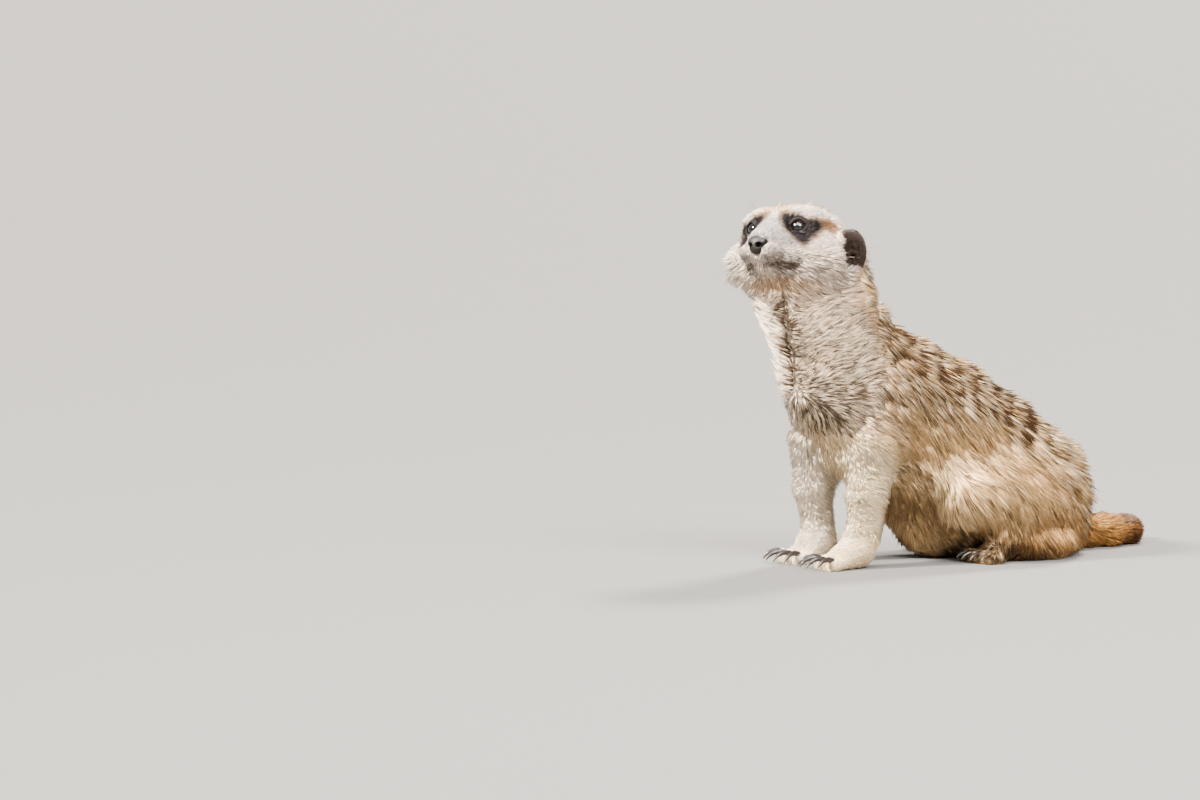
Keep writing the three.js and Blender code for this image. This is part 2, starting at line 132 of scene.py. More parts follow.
def turned(places, share):
    """Places of the body turned with the neck, by a share of its turn."""
    low, high = NECK_AXIS
    z = places[:, 2]
    centre = low + (high - low) * np.clip((z - low[2]) / (high[2] - low[2]), 0, 1)[:, None]
    turn = share * radians(NECK_TURN) * np.interp(z, NECK_TURNS, (0, 1))
    ahead = places - centre
    return np.stack([
        centre[:, 0] * (share > 0) + np.cos(turn) * ahead[:, 0] - np.sin(turn) * ahead[:, 1],
        centre[:, 1] + np.sin(turn) * ahead[:, 0] + np.cos(turn) * ahead[:, 1],
        z,
    ], 1)


def from_neck(place):
    low, high = NECK_AXIS
    middle_x = np.interp(place[2], (low[2], high[2]), (low[0], high[0]))
    return from_body(turned(np.array([place]) + (middle_x, 0, 0), 1)[0])


def in_neck(points):
    """Points as if the neck looked straight ahead, with x from its own middle."""
    return turned(in_body(points), -1)


# ---------------------------------------------------------------- the camera

CAMERA_AZIMUTH, CAMERA_ELEVATION, CAMERA_DISTANCE = 52, 6, 3.733
LENS, SENSOR = 200, 36
AIM = Vector((BODY_AT + (-0.1, 8.7, 0)) * MM)
AIM_IN_PICTURE = (0.2875, -0.1292)  # from the picture's middle, right and up, in picture widths


def way_to(azimuth, elevation):
    """The way from the meerkat to what stands at this azimuth and elevation, in degrees."""
    turn, lift = radians(azimuth), radians(elevation)
    return Vector((sin(turn) * cos(lift), -cos(turn) * cos(lift), sin(lift)))


def place_looking(thing, at, ahead):
    """The thing, a camera or a lamp, put in the scene at a place and turned to look ahead."""
    thing.location = at
    thing.rotation_euler = ahead.to_track_quat("-Z", "Y").to_euler()
    bpy.context.scene.collection.objects.link(thing)


def make_camera():
    back = way_to(CAMERA_AZIMUTH, CAMERA_ELEVATION)
    right = (-back).cross(Vector((0, 0, 1))).normalized()
    up = right.cross(-back)
    across, above = (share * SENSOR / LENS for share in AIM_IN_PICTURE)
    camera = bpy.data.objects.new("camera", bpy.data.cameras.new("camera"))
    camera.data.lens, camera.data.sensor_width = LENS, SENSOR
    camera.data.clip_start, camera.data.clip_end = 0.1, 50
    place_looking(camera, AIM + back * CAMERA_DISTANCE, (-back - right * across - up * above).normalized())
    bpy.context.scene.camera = camera


make_camera()


# ---------------------------------------------------------------- the lie of the coat

# Each stroke says how the coat runs from one point to another, in millimetres, and there the depth
# of the coat, the length and width of its tufts, how steeply they rise, and how far it reaches.
DEPTH, LENGTH, WIDTH, RISE, REACH = range(5)

HEAD_STROKES = [  # from, to, (depth, length, width, rise, reach)
    ((0, -15, -5), (0, -2, 5), (0.8, 2.4, 0.34, 16, 4)),
    ((5, -15, -7), (9, -3, -1), (0.7, 2.2, 0.34, 14, 4)),
    ((0, 0, 7), (0, 14, 13), (1.6, 4.4, 0.4, 24, 5)),
    ((0, 15, 15), (0, 38, 13), (2.6, 7.5, 0.48, 24, 8)),
    ((14, 18, 13), (17, 38, 8), (2.6, 7.5, 0.48, 26, 8)),
    ((0, 38, 12), (0, 54, -6), (4.0, 11, 0.5, 24, 9)),
    ((6, 2, 6), (15, 10, 11), (1.6, 4.6, 0.38, 28, 4)),
    ((15, 8, 10), (25, 24, 5), (1.8, 5.5, 0.42, 22, 5)),
    ((18, 9, 1), (27, 22, 0), (1.2, 4.2, 0.4, 16, 4)),
    ((5, -2, -5), (9, 3, -9), (0.5, 1.6, 0.32, 12, 3)),
    ((10, -3, -8), (20, 9, -9), (0.8, 2.8, 0.36, 14, 4)),
    ((20, 9, -8), (29, 20, -7), (2.2, 6.5, 0.44, 22, 5)),
    ((5, -20, -15), (11, -8, -14), (0.7, 2.2, 0.34, 18, 4)),
    ((10, -9, -14), (20, 3, -14), (0.9, 3.2, 0.38, 18, 4)),
    ((4, -18, -19), (13, -5, -19), (0.7, 2.6, 0.34, 20, 3)),
    ((19, 2, -14), (26, 8, -14), (2.8, 8, 0.44, 38, 5)),
    ((20, 1, -21), (28, 8, -24), (4.0, 11, 0.46, 40, 6)),
    ((27, 9, -9), (33, 18, -8), (1.6, 6, 0.42, 18, 5)),
    ((29, 11, -16), (34, 18, -17), (2.0, 7, 0.42, 20, 5)),
    ((29, 14, -24), (34, 25, -29), (4.2, 11, 0.46, 30, 6)),
    ((22, 4, -27), (30, 14, -33), (4.2, 11, 0.46, 34, 6)),
    ((4, -15, -25), (9, -4, -27), (1.2, 4.0, 0.4, 20, 4)),
    ((10, -3, -26), (18, 10, -31), (2.6, 7.5, 0.46, 24, 6)),
    ((18, 12, -31), (25, 24, -40), (4.4, 11, 0.5, 28, 8)),
    ((0, -15, -24), (0, -2, -29), (1.4, 4.2, 0.4, 20, 4)),
    ((0, 0, -30), (0, 10, -38), (3.6, 9, 0.48, 24, 6)),
    ((26, 42, -2), (30, 50, -16), (4.0, 12, 0.5, 42, 7)),
]

NECK_STROKES = [  # in the neck's own places: from the throat's parting up and back to the nape
    ((3, -121, 153), (15, -116, 151), (4.0, 9, 0.38, 17, 6)),
    ((2, -114, 136), (16, -112, 146), (4.2, 10, 0.38, 17, 7)),
    ((2, -104, 116), (17, -106, 128), (4.2, 10, 0.38, 17, 8)),
    ((18, -112, 145), (31, -100, 158), (4.4, 11, 0.4, 18, 8)),
    ((19, -105, 127), (31, -93, 141), (4.4, 11, 0.4, 18, 8)),
    ((32, -92, 140), (36, -74, 139), (5.0, 11, 0.42, 26, 7)),
    ((4, -98, 98), (19, -94, 110), (4.4, 10, 0.38, 19, 7)),
    ((21, -91, 106), (33, -76, 116), (4.6, 11, 0.4, 20, 8)),
    ((16, -90, 93), (30, -76, 99), (4.4, 11, 0.4, 20, 6)),
    ((33, -86, 163), (33, -68, 157), (4.8, 12, 0.42, 28, 7)),
]

BODY_STROKES = [
    ((0, -62, 174), (0, -42, 148), (5.0, 13, 0.54, 26, 10)),
    ((12, -66, 172), (14, -46, 146), (5.0, 13, 0.52, 20, 11)),
    ((26, -70, 162), (27, -50, 138), (5.0, 13, 0.5, 20, 11)),
    ((4, -43, 148), (15, -24, 122), (5.0, 15, 0.56, 28, 12)),
    ((3, -17, 124), (17, 2, 104), (5.0, 16, 0.56, 25, 12)),
    ((3, 10, 110), (18, 29, 88), (5.0, 17, 0.56, 25, 12)),
    ((3, 38, 95), (18, 55, 72), (5.4, 18, 0.56, 27, 13)),
    ((3, 66, 78), (16, 82, 54), (6.0, 19, 0.56, 31, 13)),
    ((2, 88, 56), (8, 97, 24), (6.2, 19, 0.56, 35, 12)),
    ((0, 95, 40), (0, 99, 12), (5.0, 16, 0.56, 32, 12)),
    ((27, -50, 124), (32, -34, 98), (5.0, 17, 0.52, 22, 10)),
    ((30, -20, 104), (35, -3, 74), (5.0, 20, 0.52, 20, 12)),
    ((33, 6, 88), (38, 22, 54), (5.0, 22, 0.52, 19, 12)),
    ((34, 34, 68), (42, 48, 28), (5.2, 22, 0.52, 21, 12)),
    ((25, 66, 66), (33, 80, 24), (6.0, 21, 0.54, 30, 12)),
    ((30, -58, 92), (34, -38, 68), (4.8, 16, 0.5, 22, 9)),
    ((26, -24, 76), (31, -2, 42), (4.6, 20, 0.5, 19, 11)),
    ((38, 6, 54), (43, 16, 18), (3.6, 17, 0.5, 18, 9)),
    ((43, 34, 40), (48, 46, 10), (4.4, 18, 0.48, 22, 9)),
    ((26, 84, 34), (30, 92, 6), (4.6, 15, 0.52, 28, 9)),
    ((18, -22, 46), (23, 10, 24), (3.4, 12, 0.5, 22, 9)),
    ((20, 0, 28), (22, 20, 6), (3.2, 13, 0.5, 30, 8)),
    ((0, -22, 24), (0, 14, 5), (3.0, 11, 0.5, 24, 10)),
    ((0, -96, 94), (0, -84, 70), (4.2, 11, 0.5, 24, 8)),
    ((11, -88, 85), (8, -78, 64), (4.0, 11, 0.5, 24, 6)),
    ((16, -86, 86), (24, -68, 64), (4.0, 11, 0.5, 24, 6)),
    ((21, -82, 91), (31, -60, 84), (4.4, 12, 0.5, 24, 6)),
    ((5, -72, 60), (5, -48, 49), (3.6, 12, 0.5, 30, 8)),
]

LIMB_STROKES = [  # in the body's axes too, each for the side that its first point is on
    ((22, -50, 92), (31, -38, 72), (3.6, 13, 0.46, 20, 8)),
    ((17, -68, 74), (27, -48, 60), (3.0, 9, 0.4, 22, 8)),
    ((17, -71, 54), (25, -52, 42), (2.4, 7.2, 0.38, 22, 7)),
    ((17, -72, 34), (23, -54, 24), (1.9, 5.6, 0.36, 20, 6)),
    ((19, -62, 15), (21, -80, 10), (1.3, 4.2, 0.38, 18, 6)),
    ((21, -80, 9), (23, -98, 5), (1.0, 3.4, 0.34, 16, 6)),
    ((-21, -58, 90), (-30, -46, 72), (3.6, 13, 0.46, 20, 8)),
    ((-19, -77, 72), (-28, -58, 58), (2.8, 9, 0.4, 22, 8)),
    ((-19, -76, 54), (-27, -58, 42), (2.4, 7.2, 0.38, 22, 7)),
    ((-18, -73, 34), (-25, -56, 24), (1.9, 5.6, 0.36, 20, 6)),
    ((-20, -62, 15), (-20, -78, 10), (1.3, 4.2, 0.38, 18, 6)),
    ((-20, -78, 9), (-20, -94, 5), (1.0, 3.4, 0.34, 16, 6)),
    ((37, 58, 9), (37, 28, 11), (1.6, 5.4, 0.42, 18, 7)),
    ((37, 26, 11), (37, 2, 6), (1.0, 3.2, 0.36, 14, 6)),
    ((-35, 74, 9), (-35, 46, 11), (1.6, 5.4, 0.42, 18, 7)),
    ((-35, 44, 11), (-34, 19, 6), (1.0, 3.2, 0.36, 14, 6)),
    ((0, 86, 16), (3, 102, 10), (3.0, 9, 0.5, 22, 10)),
    ((3, 102, 10), (7, 126, 9), (2.4, 8, 0.46, 18, 9)),
    ((7, 126, 9), (-12, 153, 8), (2.2, 7.5, 0.46, 18, 9)),
    ((-12, 153, 8), (-58, 151, 7), (2.0, 7, 0.44, 18, 9)),
    ((-58, 151, 7), (-97, 119, 5), (1.8, 7, 0.44, 18, 9)),
]


def all_strokes():
    """The strokes' starts, ends and measures in the part's frame, with those of one side mirrored."""
    rows = []
    for place, table in ((from_head, HEAD_STROKES), (from_neck, NECK_STROKES),
                         (from_body, BODY_STROKES), (from_body, LIMB_STROKES)):
        for start, end, measures in table:
            rows.append((place(start), place(end), measures))
            if table is not LIMB_STROKES and (start[0] or end[0]):
                flip = np.array((-1, 1, 1))
                rows.append((place(flip * start), place(flip * end), measures))
    return (np.array(column, FLOAT) for column in zip(*rows))


STROKE_FROM, STROKE_TO, STROKE_MEASURES = all_strokes()
SHARE_POWER = 3

# An ear is a flap whose own axes are x out of its hollow, y to its back edge and z to its top.
EAR_AT = {1: (33.0, 25.7, -11.8), -1: (31.5, 28.5, -11.8)}  # the near ear is turned out more
EAR_RADII = {1: (4.2, 10.2, 12.3), -1: (4.5, 9.3, 12.3)}
EAR_TURN, EAR_LEAN = -35, 10
EAR_COAT = np.array((0.5, 2.4, 0.34, 14, 4), FLOAT)
EAR_RUN = np.array((0.3, 0.25, 1))
NEAR_EAR, EAR_FRINGE = 15, 5  # how close to an ear the coat is deeper, and shorter and flatter
DEEPER, SHORTER, FLATTER = 1.6, 0.3, 0.4  # by how much: in millimetres, and as shares


def ear_centre(side):
    return np.array(EAR_AT[side], FLOAT) * mirror(side)


def in_ear(face, side):
    """Places of the head in an ear's own axes, those of the right ear as in a mirror."""
    axes = np.array(turning(side * EAR_TURN, "Z") @ turning(side * EAR_LEAN, "Y"), FLOAT)
    return ((face - ear_centre(side)) @ axes) * mirror(side)


def ear_gap(points):
    """How far each point is from the flap of the nearest ear."""
    face = in_head(points)
    return np.minimum(*(ball(in_ear(face, side), (0, 0, 0), EAR_RADII[side]) for side in SIDES))


def on_ear(gap):
    """From 0 to 1, how surely each point belongs to the flap of an ear, from its gap to it."""
    return ramp(gap, 1.0, 0.2)[:, None]


PARTING_AT, PARTING_FROM, PARTING_TO = -0.7, 104, 158  # across the neck, and its heights
PARTING_WIDTH, PARTED = 1.5, 9  # how far from it the coat is dark, and is pushed aside
PARTING_EDGE, FADE_BELOW, FADE_ABOVE = 0.4, 8, 6
NECK_FRONT = (14, -14)  # back from the neck's axis, where its front starts and is whole


def neck_front(straight):
    return ramp(straight[:, 1] - NECK_AXIS[0, 1], *NECK_FRONT)


def at_parting(points, reach):
    """How far across each point is from the throat's parting, and how near it is."""
    straight = in_neck(points)
    across, z = straight[:, 0] - PARTING_AT, straight[:, 2]
    near = ramp(np.abs(across), reach, PARTING_EDGE) * neck_front(straight)
    near = near * ramp(z, PARTING_FROM - FADE_BELOW, PARTING_FROM)
    return across, near * ramp(z, PARTING_TO, PARTING_TO - FADE_ABOVE)


def parted(points):
    """A push to either side that leaves the parting of the throat open."""
    across, near = at_parting(points, PARTED)
    turn = radians(NECK_TURN)
    return (near * np.sign(across))[:, None] * np.array((cos(turn), sin(turn), 0))


def coat_at(points):
    """The way the coat runs and its measures at each point, shared out among the strokes nearby."""
    along = STROKE_TO - STROKE_FROM
    way, size = unit(along), (along**2).sum(1)
    total = np.zeros((len(points), 1), FLOAT)
    run = np.zeros((len(points), 3), FLOAT)
    measures = np.zeros((len(points), STROKE_MEASURES.shape[1]), FLOAT)
    points = points.astype(FLOAT)
    for i in range(len(along)):
        offset = points - STROKE_FROM[i]
        t = np.clip(offset @ along[i] / size[i], 0, 1)
        gap = ((offset - t[:, None] * along[i]) ** 2).sum(1)
        share = (1 / (1 + gap / STROKE_MEASURES[i, REACH] ** 2) ** SHARE_POWER)[:, None]
        total += share
        run += share * way[i]
        measures += share * STROKE_MEASURES[i]
    measures /= total
    run += total * parted(points)
    gap = ear_gap(points)
    measures[:, DEPTH] += DEEPER * ramp(gap, NEAR_EAR, 2)
    close = ramp(gap, EAR_FRINGE, 1)
    measures[:, LENGTH] *= 1 - SHORTER * close
    measures[:, RISE] *= 1 - FLATTER * close
    ear = on_ear(gap)
    run = run / total * (1 - ear) + ear * (HEAD_AXES @ EAR_RUN)
    return run, measures * (1 - ear) + ear * EAR_COAT


# ---------------------------------------------------------------- shapes as fields of distance

class Grid:
    """A block of cells between two corners, which holds a field of distances at each cell."""

    def __init__(self, low, high, cell):
        self.cell = cell
        self.first = np.floor(np.asarray(low) / cell).astype(int)
        self.shape = tuple(np.ceil(np.asarray(high) / cell).astype(int) - self.first + 1)
        self.start = tuple(int(i) for i in self.first)
        self.voxels = openvdb.createLinearTransform(cell)

    def axes(self):
        return [(self.first[i] + np.arange(self.shape[i])) * self.cell for i in range(3)]

    def points(self):
        return np.stack(np.meshgrid(*self.axes(), indexing="ij"), -1).astype(FLOAT)

    def head_points(self):
        """The cells in the head's own axes."""
        return in_head(self.points().reshape(-1, 3)).reshape(*self.shape, 3)

    def corners(self):
        low = self.first * self.cell
        return low, low + (np.array(self.shape) - 1) * self.cell

    def distance(self, points, faces, inside, outside=0):
        """The distance to a closed mesh, less than nothing inside it."""
        sides = {"quads": faces} if faces.shape[1] == 4 else {"triangles": faces}
        level = openvdb.FloatGrid.createLevelSetFromPolygons(
            points, transform=self.voxels, exBandWidth=4 + outside / self.cell,
            inBandWidth=inside / self.cell, **sides)
        field = np.empty(self.shape, FLOAT)
        level.copyToArray(field, ijk=self.start)
        return field

    def surface(self, field):
        """The closed surface where a field is nothing, as points and faces of four sides."""
        level = openvdb.FloatGrid(10.0)
        level.copyFromArray(field.astype(FLOAT), ijk=self.start)
        level.transform = self.voxels
        points, _, faces = level.convertToPolygons(isovalue=0.0)
        return points, faces

    def filled(self, coarse, made):
        """A field of a coarser block, filled in between its cells."""
        for axis in range(3):
            at = (self.axes()[axis] / coarse.cell) - coarse.first[axis]
            low = np.clip(np.floor(at).astype(int), 0, coarse.shape[axis] - 2)
            part = (at - low).astype(FLOAT).reshape([-1 if i == axis else 1 for i in range(3)])
            made = made.take(low, axis) * (1 - part) + made.take(low + 1, axis) * part
        return made

    def coat_depth(self, step):
        """The depth of the coat, worked out on a coarser block."""
        coarse = Grid(*self.corners(), step)
        deep = coat_at(coarse.points().reshape(-1, 3))[1][:, DEPTH]
        return self.filled(coarse, deep.reshape(coarse.shape))


def blurred(field, passes):
    """A field evened out by its neighbours, which rounds facets and creases off."""
    for _ in range(passes):
        for axis in range(3):
            last = field.shape[axis] - 1
            around = np.arange(last + 1)
            before, after = np.maximum(around - 1, 0), np.minimum(around + 1, last)
            field = (field.take(before, axis) + 2 * field + field.take(after, axis)) / 4
    return field


def values_of(items, name, width=3, kind=FLOAT):
    """What each item of a mesh has under a name, one row for each."""
    values = np.empty(len(items) * width, kind)
    items.foreach_get(name, values)
    return values.reshape(-1, width)


def points_of(mesh):
    return values_of(mesh.vertices, "co") / MM


def triangles_of(mesh):
    mesh.calc_loop_triangles()
    return values_of(mesh.loop_triangles, "vertices", kind=np.int32)


def mesh_of(nodes):
    """The triangles of some nodes as one bag of points and faces."""
    points, faces, count = [], [], 0
    for node in nodes:
        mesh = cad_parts[node].data
        points.append(points_of(mesh))
        faces.append(triangles_of(mesh) + count)
        count += len(mesh.vertices)
    return np.concatenate(points), np.concatenate(faces).astype(np.uint32)


CLOSING = 0.5  # more than half the gap between two nodes
DEEPEST = 8  # how far inside the flesh distances are worked out


def flesh_field(grid, nodes, closing=CLOSING):
    """The distance to the nodes' common outline, with the gaps between them filled."""
    swollen = grid.distance(*mesh_of(nodes), 3 * grid.cell, closing) - closing
    points, faces = grid.surface(swollen)
    return grid.distance(points, faces.astype(np.uint32), DEEPEST + closing) + closing


def joined(a, b, soft):
    """The union of two fields, rounded where they meet."""
    gap = np.clip(0.5 + 0.5 * (b - a) / soft, 0, 1)
    return b + (a - b) * gap - soft * gap * (1 - gap)


def carved(a, b, soft):
    """The first field with the second taken out of it, rounded at the edge."""
    return -joined(-a, b, soft)


def ball(points, centre, radii):
    offset = points - np.asarray(centre, FLOAT)
    radii = np.asarray(radii, FLOAT)
    near = np.sqrt(((offset / radii) ** 2).sum(-1))
    steep = np.sqrt(((offset / radii**2) ** 2).sum(-1))
    return near * (near - 1) / np.maximum(steep, 1e-6)


def rod(points, stations, radius=0.0):
    """A bent rod through some stations."""
    made = None
    for start, end in zip(stations, stations[1:]):
        start, along = np.asarray(start, FLOAT), np.subtract(end, start, dtype=FLOAT)
        offset = points - start
        t = np.clip(offset @ along / (along @ along), 0, 1)
        gap = np.sqrt(((offset - t[..., None] * along) ** 2).sum(-1)) - radius
        made = gap if made is None else np.minimum(made, gap)
    return made


def ramp(values, start, end):
    """From 0 to 1 between two values, smoothly."""
    t = np.clip((values - start) / (end - start), 0, 1)
    return t * t * (3 - 2 * t)


# ---------------------------------------------------------------- the skin

FLESH = [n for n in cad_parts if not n.startswith(("eye", "nose", "claw"))]
BODY_CELL, HEAD_CELL = 1.1, 0.6
BODY_STEP, HEAD_STEP = 5.0, 2.0  # of the coarser blocks on which the coat's depth is worked out
BODY_BLUR, HEAD_BLUR = 2, 3
BODY_ROOM, HEAD_ROOM, HEAD_ROOM_BELOW = 3, 2, (2, 2, 16)  # past the boxes of the nodes
NECK_CUT = from_head((0, 30, -44))  # where the head's finer surface takes over from the body's
NECK_WAY = unit(from_head((0, 27, 0)) - NECK_CUT)
CUT_REACH, CUT_SINK = 4, 0.35

LID_GAP, LID_THICK = 0.12, 1.25
LID_OPEN = {"toward_nose": 5.1, "outer": 4.5, "upper": 3.45, "lower": 3.1}
LID_TILT, LID_SOFT, LID_BLEND, LID_REACH = 0.12, 0.7, 1.6, 11
WET_CORNER = ((4.6, 5.2, 0), (4.0, 7.2, 0.8))  # a groove: ahead, toward the nose and down
FINE = 0.5  # the radius of a fine groove, and how rounded it is
MOUTH = np.array([(0, -17.2, -21.4), (4.2, -15.4, -22.5), (8, -10.8, -22.8), (12, -6, -22),
                  (16.5, -1.5, -20.2)])
PHILTRUM = [(0, -23, -15.5), (0, -19.5, -20.8)]


def around_neck_cut(points):
    return (points - NECK_CUT.astype(FLOAT)) @ NECK_WAY.astype(FLOAT)


PAWS = {"front_paw": ("claw_front", 3.0), "hind_foot": ("claw_hind", 2.9)}  # claws, a toe's radius
CLAWS = [(f"{claw}_{side}_{number}", f"{limb}_{side}", claw, radius)
         for limb, (claw, radius) in PAWS.items() for side in ("left", "right") for number in range(1, 5)]
TOE_LENGTH, TOE_RISE = 9, 2
TOE_BACK, TOE_SINK = 0.7, 1.8  # from the claw's root to the middle of the toe's end
CLEFT, CLEFT_PLACE = 1.1, np.array(((0, 0, 1.6), (0, 0, 2.8)), FLOAT)
SOFT = 1.0  # how rounded the joins of small shapes are


def claw_line(node, paw):
    """Four places from a claw's root to its tip."""
    points = np.unique(mesh_of([node])[0].round(3), axis=0)
    tip = points[np.argmax(np.linalg.norm(points - middle(paw), axis=1))]
    points = points[np.argsort(np.linalg.norm(points - tip, axis=1))]
    return np.array([points[11:].mean(0), points[6:11].mean(0), points[1:6].mean(0), tip])


def add_toes(field, points):
    """Toes that end at the claws, with a cleft between each and the next."""
    for first in range(0, len(CLAWS), 4):
        toes = []
        for node, paw, _, radius in CLAWS[first:first + 4]:
            line = claw_line(node, paw)
            ahead = unit((line[3] - line[0]) * (1, 1, 0))
            end = line[0] - TOE_BACK * ahead - (0, 0, TOE_SINK)
            toes.append(np.array((end, end - TOE_LENGTH * ahead + (0, 0, TOE_RISE))))
        toes = np.array(toes, FLOAT)
        low, high = toes.min((0, 1)) - 5, toes.max((0, 1)) + 5
        near = np.nonzero(((points > low) & (points < high)).all(-1))
        place, shape = points[near], field[near]
        for toe in toes:
            shape = joined(shape, rod(place, toe, radius), SOFT)
        for toe, other in zip(toes, toes[1:]):
            cleft = (toe + other) / 2 + CLEFT_PLACE
            cleft[0] += cleft[0] - cleft[1]
            shape = carved(shape, rod(place, cleft, CLEFT), SOFT)
        field[near] = shape


THIGH_FROM, TAIL_FROM = (30, 46), (84, 94)  # heights, and places along y, where a drape starts and is whole
NAPE_AT, NAPE_REACH = np.array((0, -60, 165), FLOAT), (46, 30)


def over_thigh(place):
    return ramp(place[..., 2], *THIGH_FROM)


def at_nape(place):
    return ramp(np.linalg.norm(place - NAPE_AT, axis=-1), *NAPE_REACH)


def on_tail(place):
    return ramp(place[..., 1], *TAIL_FROM)


NAPE_DRAPE = (("head", "neck", "trunk"), 14, at_nape)
DRAPES = (  # creases that the coat bridges: between which nodes, how far, and where
    (("trunk", "hind_leg_left", "hind_leg_right"), 14, over_thigh),
    NAPE_DRAPE,
    (("tail_base", "tail_middle", "tail_tip"), 5, on_tail),
)


def draped(grid, nodes, *drapes):
    """The nodes' flesh with some creases bridged, as the coat falls over them."""
    field = flesh_field(grid, nodes)
    place = in_body(grid.points()).astype(FLOAT)
    for between, reach, where in drapes:
        low, high = grid.corners()
        coarse = Grid(low - reach, high + reach, BODY_CELL)
        bridged = grid.filled(coarse, flesh_field(coarse, between, reach))
        field = field + where(place) * (np.minimum(field, bridged) - field)
    return field


def body_skin():
    low, high = (np.array(corner) / MM for corner in cad_box)
    grid = Grid(low - BODY_ROOM, high + BODY_ROOM, BODY_CELL)
    field = blurred(draped(grid, FLESH, *DRAPES), BODY_BLUR)
    field += grid.coat_depth(BODY_STEP)
    add_toes(field, grid.points())
    above = around_neck_cut(grid.points())
    field += CUT_SINK * ramp(above, -1, CUT_REACH)
    return grid.surface(np.maximum(field, above - CUT_REACH))


def eye_centre(side):
    return EYE_LEFT * mirror(side)


def eye_axes(side):
    """An eye's own axes in the head's: ahead, toward the outer corner, and up."""
    ahead = unit(LOOK * mirror(side))
    outward = unit(np.cross(ahead, (0, 0, 1)) * -side)
    return ahead, outward, np.cross(outward, ahead) * -side


def add_lids(field, points):
    """A socket round each eye, and lids that hug the ball and leave an almond open."""
    for side in SIDES:
        centre, axes = eye_centre(side), eye_axes(side)
        offset = points - centre.astype(FLOAT)
        far = np.sqrt((offset**2).sum(-1))
        near = np.nonzero(far < LID_REACH)
        ahead, out, up = (offset[near] @ axis.astype(FLOAT) for axis in axes)
        corner = np.where(out > 0, LID_OPEN["outer"], LID_OPEN["toward_nose"])
        bow = 1 - (out / corner) ** 2
        tilt = up - LID_TILT * out
        edge = np.maximum(tilt - LID_OPEN["upper"] * bow, -tilt - LID_OPEN["lower"] * bow)
        shell = np.abs(far[near] - EYE_RADIUS - LID_GAP - LID_THICK / 2) - LID_THICK / 2
        lid = carved(np.maximum(shell, -ahead), edge * 0.8, LID_SOFT)
        with_lid = joined(field[near], lid, LID_BLEND)
        socket = np.maximum(with_lid, EYE_RADIUS + LID_GAP - far[near]).astype(FLOAT)
        # The wet corner toward the nose is a short groove.
        groove = [centre + axes[0] * on - axes[1] * inward - axes[2] * down
                  for on, inward, down in WET_CORNER]
        field[near] = carved(socket, rod(points[near], groove, FINE), FINE)


NOSE_BALLS = (((0.2, -18.3, -11.5), (5.8, 4.6, 4.3)), ((0.2, -19.4, -14.6), (4.0, 3.4, 3.6)))
NOSE_BLEND, NOSE_SINK = 1.8, 0.5
MUZZLE_AT, MUZZLE_REACH = np.array((0, -12, -17), FLOAT), 26
PAD_AT, PAD_RADII, PAD_BLEND = np.array((6, -14, -16.2)), (5.4, 7.2, 4.2), 2.5
LIP_CUT, LIP_SOFT, PHILTRUM_CUT, PHILTRUM_SOFT = 0.55, 1.1, 0.4, 0.8


def nose_shape(points):
    return joined(*(ball(points, *shape) for shape in NOSE_BALLS), NOSE_BLEND)


def add_muzzle(field, points):
    """The whisker pads, the lips and the groove under the nose."""
    near = np.nonzero(((points - MUZZLE_AT) ** 2).sum(-1) < MUZZLE_REACH**2)
    place, shape = points[near], field[near]
    for side in SIDES:
        shape = joined(shape, ball(place, PAD_AT * mirror(side), PAD_RADII), PAD_BLEND)
        shape = carved(shape, rod(place, MOUTH * mirror(side), LIP_CUT), LIP_SOFT)
    shape = carved(shape, rod(place, PHILTRUM, PHILTRUM_CUT), PHILTRUM_SOFT)
    field[near] = np.maximum(shape, -nose_shape(place) - NOSE_SINK)


EAR_HOLLOW, EAR_RIDGE, EAR_REACH = ((5.2, -1.5, -1), (4.2, 8, 8.5)), 0.8, 17
EAR_RIDGES = [  # in an ear's own axes
    [(2.4, 2.6, -6), (3.0, 3.4, -1), (2.6, 1.8, 4.5)],
    [(2.6, -3.2, -1.5), (2.9, 0, 0.5), (2.8, 3.2, 0)],
    [(2.6, -3.4, -6), (2.8, -1, -5)],
]


def add_ears(field, points):
    """The flap of each ear, with ridges inside its hollow."""
    for side in SIDES:
        near = np.nonzero(((points - ear_centre(side)) ** 2).sum(-1) < EAR_REACH**2)
        place = in_ear(points[near], side)
        shape = joined(field[near], ball(place, (0, 0, 0), EAR_RADII[side]), SOFT)
        shape = carved(shape, ball(place, *EAR_HOLLOW), SOFT)
        for ridge in EAR_RIDGES:
            shape = joined(shape, rod(place, ridge, EAR_RIDGE), SOFT)
        field[near] = shape


def head_skin():
    nodes = ("head", "neck", "ear_left", "ear_right", "nose")
    low, high = (np.array([box(n)[i] for n in nodes if n != "neck"]) for i in (0, 1))
    grid = Grid(low.min(0) - HEAD_ROOM_BELOW, high.max(0) + HEAD_ROOM, HEAD_CELL)
    field = blurred(draped(grid, nodes, NAPE_DRAPE), HEAD_BLUR)
    field += grid.coat_depth(HEAD_STEP)
    points = grid.head_points()
    for add in (add_lids, add_muzzle, add_ears):
        add(field, points)
    above = around_neck_cut(grid.points())
    field += CUT_SINK * ramp(above, 1, -CUT_REACH)
    return grid.surface(np.maximum(field, -CUT_REACH - above))


